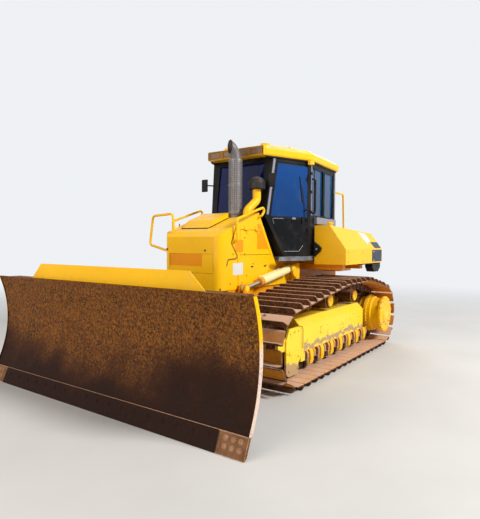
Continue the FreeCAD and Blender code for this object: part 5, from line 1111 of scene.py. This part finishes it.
def build_door_trim():
    """Borders, panes, wiper, handle and lock of both cab doors."""
    for side, turn in SIDES:
        # Piece, what adds its solids for the left door, look, edge, and nodes it stands for
        for name, add, look, edge, nodes in (
                ("pane_border", add_pane_border, "rubber", 0.0, []),
                ("pane_rim", add_pane_rim, "grey", 0.0, []),
                ("door_pane", add_door_pane, "door_glass", 0.002, ["door_glass_" + side]),
                ("door_lower_pane", add_lower_pane, "dark_glass", 0.002, []),
                ("wiper", add_wiper, "rubber", 0.001, []),
                ("door_handle", add_handle, "rubber", 0.002, []),
                ("door_lock", add_lock, "grey", 0.002, [])):
            form = Form()
            add(form)
            for vert in form.mesh.verts:
                vert.co.y *= turn
            form.done(name + "_" + side, "cab_door_" + side, look, edge, nodes)


def build_lamps():
    """Ribbed lenses in the lamp housings, the housing's ends and rims, and the rear lenses."""
    low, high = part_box("work_lamps")
    glass, ribs, caps, rear = Form(), Form(), Form(), Form()
    face = high[0] - 0.007
    for y in LAMP_Y:
        glass.rounded("x", ((y - 0.084, y + 0.084), (2.986, 3.062)), 0.012, face - 0.001, face + 0.002)
        for i in range(RIB_COUNT):
            across = y + (i - (RIB_COUNT - 1) / 2) * RIB_STEP
            ribs.bar((face + 0.002, across, 2.992), (face + 0.002, across, 3.056), 0.0024, 8)
        ribs.bolts([(face, y + turn * 0.086, 3.024) for turn in (-1, 1)], (1, 0, 0), 0.0035, 0.002)
    for turn in (-1, 1):
        caps.rounded("y", ((0.126, high[0]), (HOUSING_FOOT, HOUSING_TOP)), 0.022,
                     *sorted((turn * 0.474, turn * 0.494)))
        rear.rounded("x", ((turn * 0.500 - 0.060, turn * 0.500 + 0.060), (2.985, 3.050)), 0.014,
                     low[0] - 0.0001, low[0] + 0.006)
    for deep, foot in ((0.016, HOUSING_FOOT), (0.030, HOUSING_TOP - 0.012)):
        caps.box((high[0] - deep, high[0] - 0.001), (-0.480, 0.480), (foot, foot + 0.010))
    glass.done("lamp_lenses", "root", "lens", 0.001)
    ribs.done("lens_ribs", "root", "lens")
    caps.done("lamp_caps", "root", "yellow", 0.002)
    rear.done("rear_lenses", "root", "red_lens", 0.001)


def build_roof_trim():
    """Lifting eyes, seam bolts, corner brackets and the two round bases on the roof."""
    form = Form()
    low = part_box("cab_roof")[0][2]
    top, brim = low + 0.170, low + 0.010
    for turn in (-1, 1):
        for x in (-0.420, -1.520):
            form.prism("y", [(x - 0.045, top - 0.01), (x + 0.045, top - 0.01), (x + 0.020, top + 0.030),
                             (x - 0.020, top + 0.030)], *sorted((turn * 0.560, turn * 0.572)))
        form.bolts([(-0.100 - i * 0.300, turn * 0.300, top) for i in range(6)], (0, 0, 1), 0.010, 0.006)
    for turn in (-1, 1):
        form.box((-0.700, -0.600), sorted((turn * 0.800, turn * 0.838)), (brim - 0.060, brim + 0.002))
        form.rounded("x", (sorted((turn * 0.800, turn * 0.845)), (brim - 0.075, brim - 0.015)), 0.008,
                     -0.612, -0.560)
    form.wheel("z", (-0.450, 0.450, top),
               [(-0.002, 0.080), (0.028, 0.074), (0.040, 0.056), (0.044, 0.020)], 32)
    form.wheel("z", (-0.950, 0.0, top), [(-0.002, 0.040), (0.016, 0.036), (0.024, 0.020)])
    form.done("roof_trim", "root", "yellow", 0.001)


def build_interior():
    """Levers, arm rests, screen and pedals in the cab."""
    form = Form()
    for turn in (-1, 1):
        y = turn * 0.370
        form.rounded("z", ((-1.060, -0.640), (y - 0.055, y + 0.055)), 0.030, 1.980, 2.020)
        base = Vector((-0.555, y, 1.955))
        form.bar(base, base + Vector((0.012, 0, 0.045)), 0.040, 16, 0.018)
        form.pipe([base, base + Vector((0.015, 0, 0.09)), base + Vector((0.035, 0, 0.17))], 0.011)
        grip = base + Vector((0.035, 0, 0.160))
        form.bar(grip, grip + Vector((0.018, 0, 0.085)), 0.017, 14, 0.024)
    form.box((-0.235, -0.205), (-0.130, 0.130), (2.075, 2.235))
    form.bar((-0.220, 0, 2.04), (-0.220, 0, 2.09), 0.018)
    for y in (-0.110, 0.0, 0.110):
        form.prism("y", [(-0.300, 1.585), (-0.270, 1.585), (-0.235, 1.700), (-0.250, 1.705)],
                   y - 0.035, y + 0.035)
    form.done("cab_controls", "root", "rubber", 0.003)
    screen = Form()
    screen.rounded("x", ((-0.110, 0.110), (2.095, 2.215)), 0.010, -0.2375, -0.2345)
    screen.done("screen", "root", "screen", 0.0005)


# Seat

SEAT_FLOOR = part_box("operator_seat")[0][2]
SEAT_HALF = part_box("operator_seat")[1][1]
SEAT_TOP = 1.920
SEAT_REAR, SEAT_FRONT = -1.180, -0.660
BACK_TALL = 0.640
CUSHION_CUTS = 15


def bell(value, middle, width):
    """Smooth hump of height 1 about a middle."""
    return math.exp(-((value - middle) / width) ** 2)


def cushion(spans, crown, sharp):
    """Padded form between spans: sides that pull in, crowned faces and sewn channels."""
    form = Form()
    bmesh.ops.create_cube(form.mesh, size=1.0)
    bmesh.ops.subdivide_edges(form.mesh, edges=form.mesh.edges[:], cuts=CUSHION_CUTS,
                              use_grid_fill=True)
    for vert in form.mesh.verts:
        u, v, w = vert.co * 2
        side = (1 - abs(w) ** 3 * 0.10)
        pull = 1 - 0.030 * (1 - u * u) * abs(v) ** 6 - 0.030 * (1 - v * v) * abs(u) ** 6
        bulge = 1 + crown * (1 - u * u) * (1 - v * v)
        droop = 1 - sharp * max(0.0, max(abs(u), abs(v)) - 0.72) ** 2 / 0.0784
        channel = 1 - 0.10 * bell(abs(v), 0.55, 0.035)
        if abs(v) < 0.55:
            channel -= 0.08 * bell(u, 0.1, 0.03)
        shares = (u * side * pull, v * side * pull, w * bulge * droop * channel)
        vert.co = Vector([low + (high - low) * (share + 1) / 2
                          for (low, high), share in zip(spans, shares)])
    return form


def padded_piece(form, name, replaces=()):
    """Cloth piece, rounded once more."""
    piece = form.done(name, "root", "cloth", replaces=replaces, angle=80.0)
    piece.modifiers.new("round", "SUBSURF").levels = 1


def lean_back(form):
    """Crowns the seat's back, sews its seams, narrows its top and leans it back."""
    for vert in form.mesh.verts:
        x, y, z = vert.co
        share = z / BACK_TALL
        crown = 0.022 * (1 - (y / SEAT_HALF) ** 2) * math.sin(math.pi * min(max(share, 0), 1))
        seam = 0.012 * (bell(share, 0.62, 0.02) + bell(abs(y), SEAT_HALF * 0.55, 0.010))
        shift = crown - seam if x > 0 else -0.4 * crown
        narrow = 1 - 0.28 * max(0.0, share - 0.72) ** 1.3 / 0.2
        vert.co = Vector((SEAT_REAR + 0.060 + x + shift - 0.105 * share, y * narrow,
                          SEAT_TOP + z - 0.004))


def build_seat():
    """Seat cushion and back in cloth, on a suspension base in folds."""
    half = SEAT_HALF
    seat = cushion(((SEAT_REAR + 0.030, SEAT_FRONT), (-half, half),
                    (SEAT_TOP - 0.120, SEAT_TOP - 0.005)), 0.16, 0.30)
    padded_piece(seat, "seat_cushion", ["operator_seat"])
    back = cushion(((-0.060, 0.065), (-half + 0.012, half - 0.012), (0.0, BACK_TALL)), 0.0, 0.0)
    lean_back(back)
    padded_piece(back, "seat_back")
    base = Form()
    # Inset at the rear, the front and the sides, foot and top of each plate
    plates = [(0.06, 0.09, 0.06, SEAT_FLOOR, SEAT_FLOOR + 0.030)]
    for i in range(5):
        inset, z = 0.012 * (i % 2), SEAT_FLOOR + 0.035 + i * 0.036
        plates.append((0.08 + inset, 0.11 + inset, 0.08 + inset, z, z + 0.034))
    plates.append((0.04, 0.03, 0.04, SEAT_TOP - 0.140, SEAT_TOP - 0.116))
    for rear, front, side, low, high in plates:
        base.rounded("z", ((SEAT_REAR + rear, SEAT_FRONT - front), (side - half, half - side)), 0.030,
                     low, high)
    base.done("seat_base", "root", "rubber", 0.003)


# Body and rear

TANK_SHOULDER = Vector((1.340, 1.640))
TANK_RIM = Vector((1.080, 2.000))
TANK_FOOT = 1.410
FILLER_Y = 1.030
(TANK_REAR, TANK_INNER, _), (TANK_FRONT, TANK_OUTER, _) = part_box("tank_left")


def on_slope(x, z, out):
    """Spot on the slope of the left tank's side, at a distance out from it."""
    run = (TANK_RIM - TANK_SHOULDER).normalized()
    spot = TANK_SHOULDER + run * ((z - TANK_SHOULDER.y) / run.y) + Vector((run.y, -run.x)) * out
    return Vector((x, spot.x, spot.y))


def build_tank_plates():
    """Blank plates on the slope and the side of the left tank."""
    blank, plates = Form(), Form()
    rear, ahead = TANK_REAR + 0.012, TANK_REAR + 0.510
    blank.slab(on_slope, [(ahead - 0.190, 1.780), (ahead + 0.060, 1.720), (ahead + 0.140, 1.925),
                          (ahead - 0.150, 1.905)], -SUNK, 0.0015)
    blank.done("slope_plate", "root", "plate", 0.0005)
    plates.panel(((rear, ahead), (1.430, 1.630)), 0.012, TANK_OUTER, 0.0015)
    plates.slab(on_slope, [(rear, 1.655), (ahead - 0.160, 1.655), (ahead - 0.140, 1.760),
                           (rear, 1.760)], -SUNK, 0.0015)
    return plates


def build_tank_latches():
    """Black guard on the front of each tank, and a grey latch knob on it that also serves as a painted
    highlight.
    """
    guard, highlight_knob = Form(), Form()
    guard.prism("x", [(TANK_INNER + y, z) for y, z in
                      ((0.008, 1.760), (0.126, 1.660), (0.100, 1.600), (0.008, 1.520))],
                TANK_FRONT - 0.001, TANK_FRONT + 0.038)
    guard.both_sides().done("tank_latch_guards", "root", "rubber", 0.004)
    # Painted highlight: grey knob on the black guard
    highlight_knob.bar((TANK_FRONT + 0.037, TANK_INNER + 0.050, 1.640),
             (TANK_FRONT + 0.046, TANK_INNER + 0.050, 1.640), 0.016, 16)
    highlight_knob.both_sides().done("tank_latch_highlights", "root", "grey", 0.002)


def build_tank_trim():
    """Plates, latch guards with their knobs of painted highlight, filler cap, bolts and the brackets
    under the side tanks.
    """
    dark, bolts = Form(), Form()
    plates = build_tank_plates()
    outer, foot = TANK_OUTER, TANK_FOOT + SUNK
    dark.prism("y", [(TANK_REAR + x, z) for x, z in
                     ((0.020, foot), (0.020, 1.330), (0.120, 1.255), (0.330, 1.255), (0.420, 1.340),
                      (0.420, foot))], outer - 0.150, outer - 0.020)
    dark.box((TANK_REAR + 0.200, TANK_REAR + 1.000), (outer - 0.060, outer - 0.020), (1.392, foot))
    bolts.bolts([(x, outer - LET_IN, z) for x in
                 (TANK_FRONT - 0.100, TANK_FRONT - 0.700, TANK_REAR + 0.430)
                 for z in (1.450, 1.600)], (0, 1, 0), 0.011, 0.007)
    bolts.bolts([(TANK_FRONT - LET_IN, y, z) for y in (TANK_INNER + 0.060, outer - 0.060)
                 for z in (1.445, 1.590)], (1, 0, 0), 0.011, 0.007)
    cap_x, cap_y = TANK_FRONT - 0.130, FILLER_Y
    bolts.wheel("z", (cap_x, cap_y, 0.0), [(2.044, 0.044), (2.050, 0.040), (2.053, 0.022)])
    for across, aside in circle_points(0.044, 12):
        bolts.bar((cap_x + across, cap_y + aside, 2.024), (cap_x + across, cap_y + aside, 2.043),
                  0.004, 8)
    build_tank_latches()
    plates.done("tank_plate", "root", "slate", 0.0005)
    dark.both_sides().done("tank_brackets", "root", "black", 0.002)
    bolts.done("tank_bolts", "root", "yellow", 0.001)


def build_platform_trim():
    """Raised studs on the step beside each door."""
    form = Form()
    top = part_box("platform")[1][2]
    for i, j in product(range(9), range(4)):
        x, y = -0.700 + i * 0.070, 0.690 + j * 0.045
        limit = 0.645 + (0.010 - x) / 0.560 * 0.155
        door = on_door(max(min(x, 0.12), -0.64), 0, 0).y
        if door + 0.02 < y < limit + 0.010:
            form.wheel("z", (x, y, top), [(-0.001, 0.011), (0.004, 0.009)], 10)
    form.both_sides().done("step_studs", "root", "grey")


ROLLER_FIRST_X, ROLLER_STEP, ROLLER_COUNT = 0.560, 0.325, 8
SKIRT_FACE = TRACK_Y + 0.190
GUARD_FACE = TRACK_Y + 0.207
BAY_LOW, BAY_HIGH = 0.228, 0.345
COVER_TALL = 0.006
# Foot of each handrail on the hood's side, in X and Z
RAIL_FEET = ((0.890, 1.740), (0.320, 2.075))
REAR_FLANGE_X = -2.389
DRAWBAR_PIN_X = -2.654


def on_skirt(*spots):
    """Outline of (distance out, height) spots set on the track frame's skirt."""
    return [(SKIRT_FACE + out, z) for out, z in spots]


def build_roller_bays():
    """Dark plate of painted shade for the bays between the painted collars and ribs that hold the track
    rollers.
    """
    bay_shade, collars, ribs = Form(), Form(), Form()
    front = ROLLER_FIRST_X - ROLLER_STEP + 0.150
    rear = ROLLER_FIRST_X - (ROLLER_COUNT - 1) * ROLLER_STEP - 0.110
    # Painted shade: dark plate over the skirt behind the collars and ribs
    bay_shade.box((rear, front), (SKIRT_FACE - SUNK, SKIRT_FACE + 0.002), (BAY_LOW, BAY_HIGH))
    collar = on_skirt((-SUNK, 0.150), (0.018, 0.156), (0.030, 0.200), (0.030, 0.300),
                      (0.012, BAY_HIGH), (-SUNK, BAY_HIGH + 0.004))
    rib = on_skirt((-SUNK, BAY_LOW - 0.01), (0.024, BAY_LOW + 0.010), (0.024, 0.310),
                   (-SUNK, BAY_HIGH + 0.004))
    for i in range(1, ROLLER_COUNT):
        x = ROLLER_FIRST_X - i * ROLLER_STEP
        collars.prism("x", collar, x - 0.046, x + 0.046)
        collars.wheel("y", (x, 0.245, SKIRT_FACE), [(0.029, 0.034), (0.036, 0.030)], 20)
        for near in (x - 0.098, x + 0.098):
            ribs.prism("x", rib, near - 0.024, near + 0.024)
    bay_shade.both_sides().done("roller_bay_shade", "root", "link", 0.001)
    collars.both_sides().done("roller_collars", "root", "yellow", 0.006)
    ribs.both_sides().done("roller_ribs", "root", "orange", 0.005)


def build_frame_bolts():
    """Bolts and covers on the track frames, dark discs of painted shade for the beam's holes, and a
    strip of painted shadow along the idler guard's edge.
    """
    form, covers, holes = Form(), Form(), Form()
    outward = (0, 1, 0)
    form.bolts([(x, GUARD_FACE - LET_IN, z) for x, z in
                ((0.600, 0.640), (0.700, 0.640), (0.800, 0.630), (0.600, 0.330), (0.620, 0.180),
                 (0.840, 0.180), (0.870, 0.400))], outward, 0.013, 0.010)
    form.bolts([(x, SKIRT_FACE + COVER_TALL - LET_IN, z) for x in (-0.300, -0.080)
                for z in (0.520, 0.590)],
               outward, 0.009, 0.006)
    form.bolts([(x, SKIRT_FACE - LET_IN, 0.560) for x in (-1.150, -1.500)], outward, 0.012, 0.009)
    covers.wheel("y", (0.800, 0.400, GUARD_FACE),
                 [(-LET_IN, 0.040), (0.008, 0.040), (0.010, 0.036)])
    covers.rounded("y", ((-0.320, -0.060), (0.500, 0.610)), 0.020, SKIRT_FACE - LET_IN,
                   SKIRT_FACE + COVER_TALL)
    spots = [(x, 0.420 + i * 0.052) for i in range(5) for x in (-1.715, -1.775)]
    spots += [(-0.830 + 0.055 * math.cos(turn), 0.490 + 0.055 * math.sin(turn))
              for turn in (math.radians(30 + 60 * i) for i in range(6))]
    # Painted shade: dark discs for the holes
    holes.dots(spots, SKIRT_FACE, 0.008, 0.003)
    # Painted shadow in the gap along the idler guard's edge
    holes.strip(lambda x, z, out: Vector((x, GUARD_FACE + out, z)),
                [(0.620, 0.700), (0.500, 0.676), (0.480, 0.640), (0.480, 0.400)], 0.005, 0.003)
    holes.both_sides().done("beam_hole_shade", "root", "seam")
    form.both_sides().done("frame_bolts", "root", "frame_yellow", 0.001)
    covers.both_sides().done("frame_covers", "root", "frame_yellow", 0.002)


def build_rear_trim():
    """Bolts at the rear, and the drawbar's pin with its head and handle."""
    bolts, pin = Form(), Form()
    bolts.bolts([(REAR_FLANGE_X - LET_IN, y, z) for y in (-0.735, 0.735)
                 for z in (1.300, 1.450, 1.740, 1.880)], (-1, 0, 0), 0.009, 0.006)
    bolts.done("rear_bolts", "root", "yellow", 0.001)
    x = DRAWBAR_PIN_X
    pin.bar((x, 0, 0.500), (x, 0, 0.640), 0.0245, 24)
    pin.wheel("z", (x, 0.0, 0.0), [(0.6055, 0.045), (0.622, 0.045), (0.628, 0.038)])
    pin.pipe([(x, 0.0, 0.635), (x, 0.0, 0.700), (x, 0.070, 0.700), (x, 0.070, 0.630)], 0.007, 0.02)
    pin.done("drawbar_pin", "root", "track", 0.001)


def build_rail_feet():
    """Flanges with two bolts each at the handrails' feet."""
    form = Form()
    for x, z in RAIL_FEET:
        form.wheel("y", (x, z, HOOD_SIDE), [(-LET_IN, 0.032), (0.007, 0.032), (0.009, 0.028)], 20)
        form.bolts([(x + turn * 0.022, HOOD_SIDE + 0.007, z) for turn in (-1, 1)], (0, 1, 0), 0.005,
                   0.004)
    form.both_sides().done("rail_feet", "root", "yellow", 0.001)


# Stage

FLOOR_RADIUS = 60
WORLD_GLOW = 0.36
# Name, place, size, power and colour of each lamp, and what they all aim at
LAMPS = (
    ("key", (-0.8, 13.0, 10.5), 3.5, 2500.0, (1.0, 0.98, 0.94)),
    ("front", (12.0, -2.0, 4.5), 8.0, 820.0, (1.0, 0.90, 0.76)),
    ("rear", (-12.0, -6.0, 9.0), 8.0, 700.0, (1.0, 1.0, 1.0)),
)
LAMP_AIM = Vector((0, 0, 1.2))


def background_share(tree):
    """1 for rays from the camera, and for those that mirrors and glass pass on."""
    path = tree.nodes.new("ShaderNodeLightPath")
    share = path.outputs["Is Camera Ray"]
    for name in ("Is Transmission Ray", "Is Glossy Ray"):
        either = tree.nodes.new("ShaderNodeMath")
        either.operation = "MAXIMUM"
        tree.links.new(share, either.inputs[0])
        tree.links.new(path.outputs[name], either.inputs[1])
        share = either.outputs[0]
    return share


def build_floor():
    """Pale floor that fades into the surround far from the machine."""
    bpy.ops.mesh.primitive_circle_add(vertices=96, radius=FLOOR_RADIUS, fill_type="NGON",
                                      location=(0, 0, 0))
    floor = bpy.context.object
    floor.name = "floor"
    n = Nodes("floor_paint")
    n.finish(n.mix(n.ramp(n.noise(0.8, 5.0), 0.3, 0.7), tone(0.60, 0.59, 0.57),
                   tone(0.64, 0.63, 0.61)), 0.9)
    away = n.add("VectorMath", "Value", {0: n.spot}, operation="LENGTH")
    share = n.times(n.ramp(away, 5.0, 16.0), background_share(n.tree))
    glow = n.add("Emission", 0, {"Color": PALE_SKY, "Strength": 1.0})
    blend = n.add("MixShader", 0, {0: share, 1: n.shader.outputs[0], 2: glow})
    n.feed(n.tree.nodes["Material Output"].inputs["Surface"], blend)
    floor.data.materials.append(n.material)


def build_surround():
    """Even pale light from all round, which the camera sees at full strength."""
    world = bpy.data.worlds.new("surround")
    bpy.context.scene.world = world
    world.use_nodes = True
    tree = world.node_tree
    back, seen = tree.nodes["Background"], tree.nodes.new("ShaderNodeBackground")
    for node, colour, strength in ((seen, PALE_SKY, 1.0), (back, tone(0.86, 0.90, 1.0), WORLD_GLOW)):
        node.inputs["Color"].default_value = colour
        node.inputs["Strength"].default_value = strength
    blend = tree.nodes.new("ShaderNodeMixShader")
    for i, socket in enumerate((background_share(tree), back.outputs[0], seen.outputs[0])):
        tree.links.new(socket, blend.inputs[i])
    tree.links.new(blend.outputs[0], tree.nodes["World Output"].inputs["Surface"])


def build_lights():
    """Three soft lamps that aim at the machine's middle."""
    for name, place, size, power, colour in LAMPS:
        data = bpy.data.lights.new(name, "AREA")
        data.size = size
        data.energy = power
        data.color = colour
        lamp = bpy.data.objects.new(name, data)
        bpy.context.scene.collection.objects.link(lamp)
        lamp.location = place
        lamp.rotation_euler = (LAMP_AIM - Vector(place)).to_track_quat("-Z", "Y").to_euler()


def build_camera():
    """The photograph's camera."""
    yaw, dip, roll = (math.radians(angle) for angle in (CAMERA_YAW, CAMERA_DIP, CAMERA_ROLL))
    ahead = Vector((-math.cos(yaw) * math.cos(dip), -math.sin(yaw) * math.cos(dip), -math.sin(dip)))
    level = Vector((-math.sin(yaw), math.cos(yaw), 0.0))
    above = level.cross(ahead)
    right = level * math.cos(roll) + above * math.sin(roll)
    up = above * math.cos(roll) - level * math.sin(roll)
    data = bpy.data.cameras.new("camera")
    data.sensor_fit = "HORIZONTAL"
    data.sensor_width = SENSOR_WIDTH
    data.lens = FOCAL_LENGTH
    camera = bpy.data.objects.new("camera", data)
    bpy.context.scene.collection.objects.link(camera)
    turn = Matrix((right, up, -ahead)).transposed().to_4x4()
    camera.matrix_world = Matrix.Translation(Vector(CAMERA_PLACE)) @ turn
    bpy.context.scene.camera = camera


dress_nodes()
build_tracks()
build_drive_bolts()
build_roller_caps()
build_blade_ends()
build_edge_trim()
build_pin_heads()
build_glands()
build_hood_seams()
build_hood_face()
build_hood_panels()
build_heat_shield()
build_cab_trim()
build_door_trim()
build_lamps()
build_roof_trim()
build_interior()
build_seat()
build_tank_trim()
build_platform_trim()
build_roller_bays()
build_frame_bolts()
build_rear_trim()
build_rail_feet()
build_floor()
build_surround()
build_lights()
build_camera()

bpy.context.scene.view_settings.view_transform = "Standard"
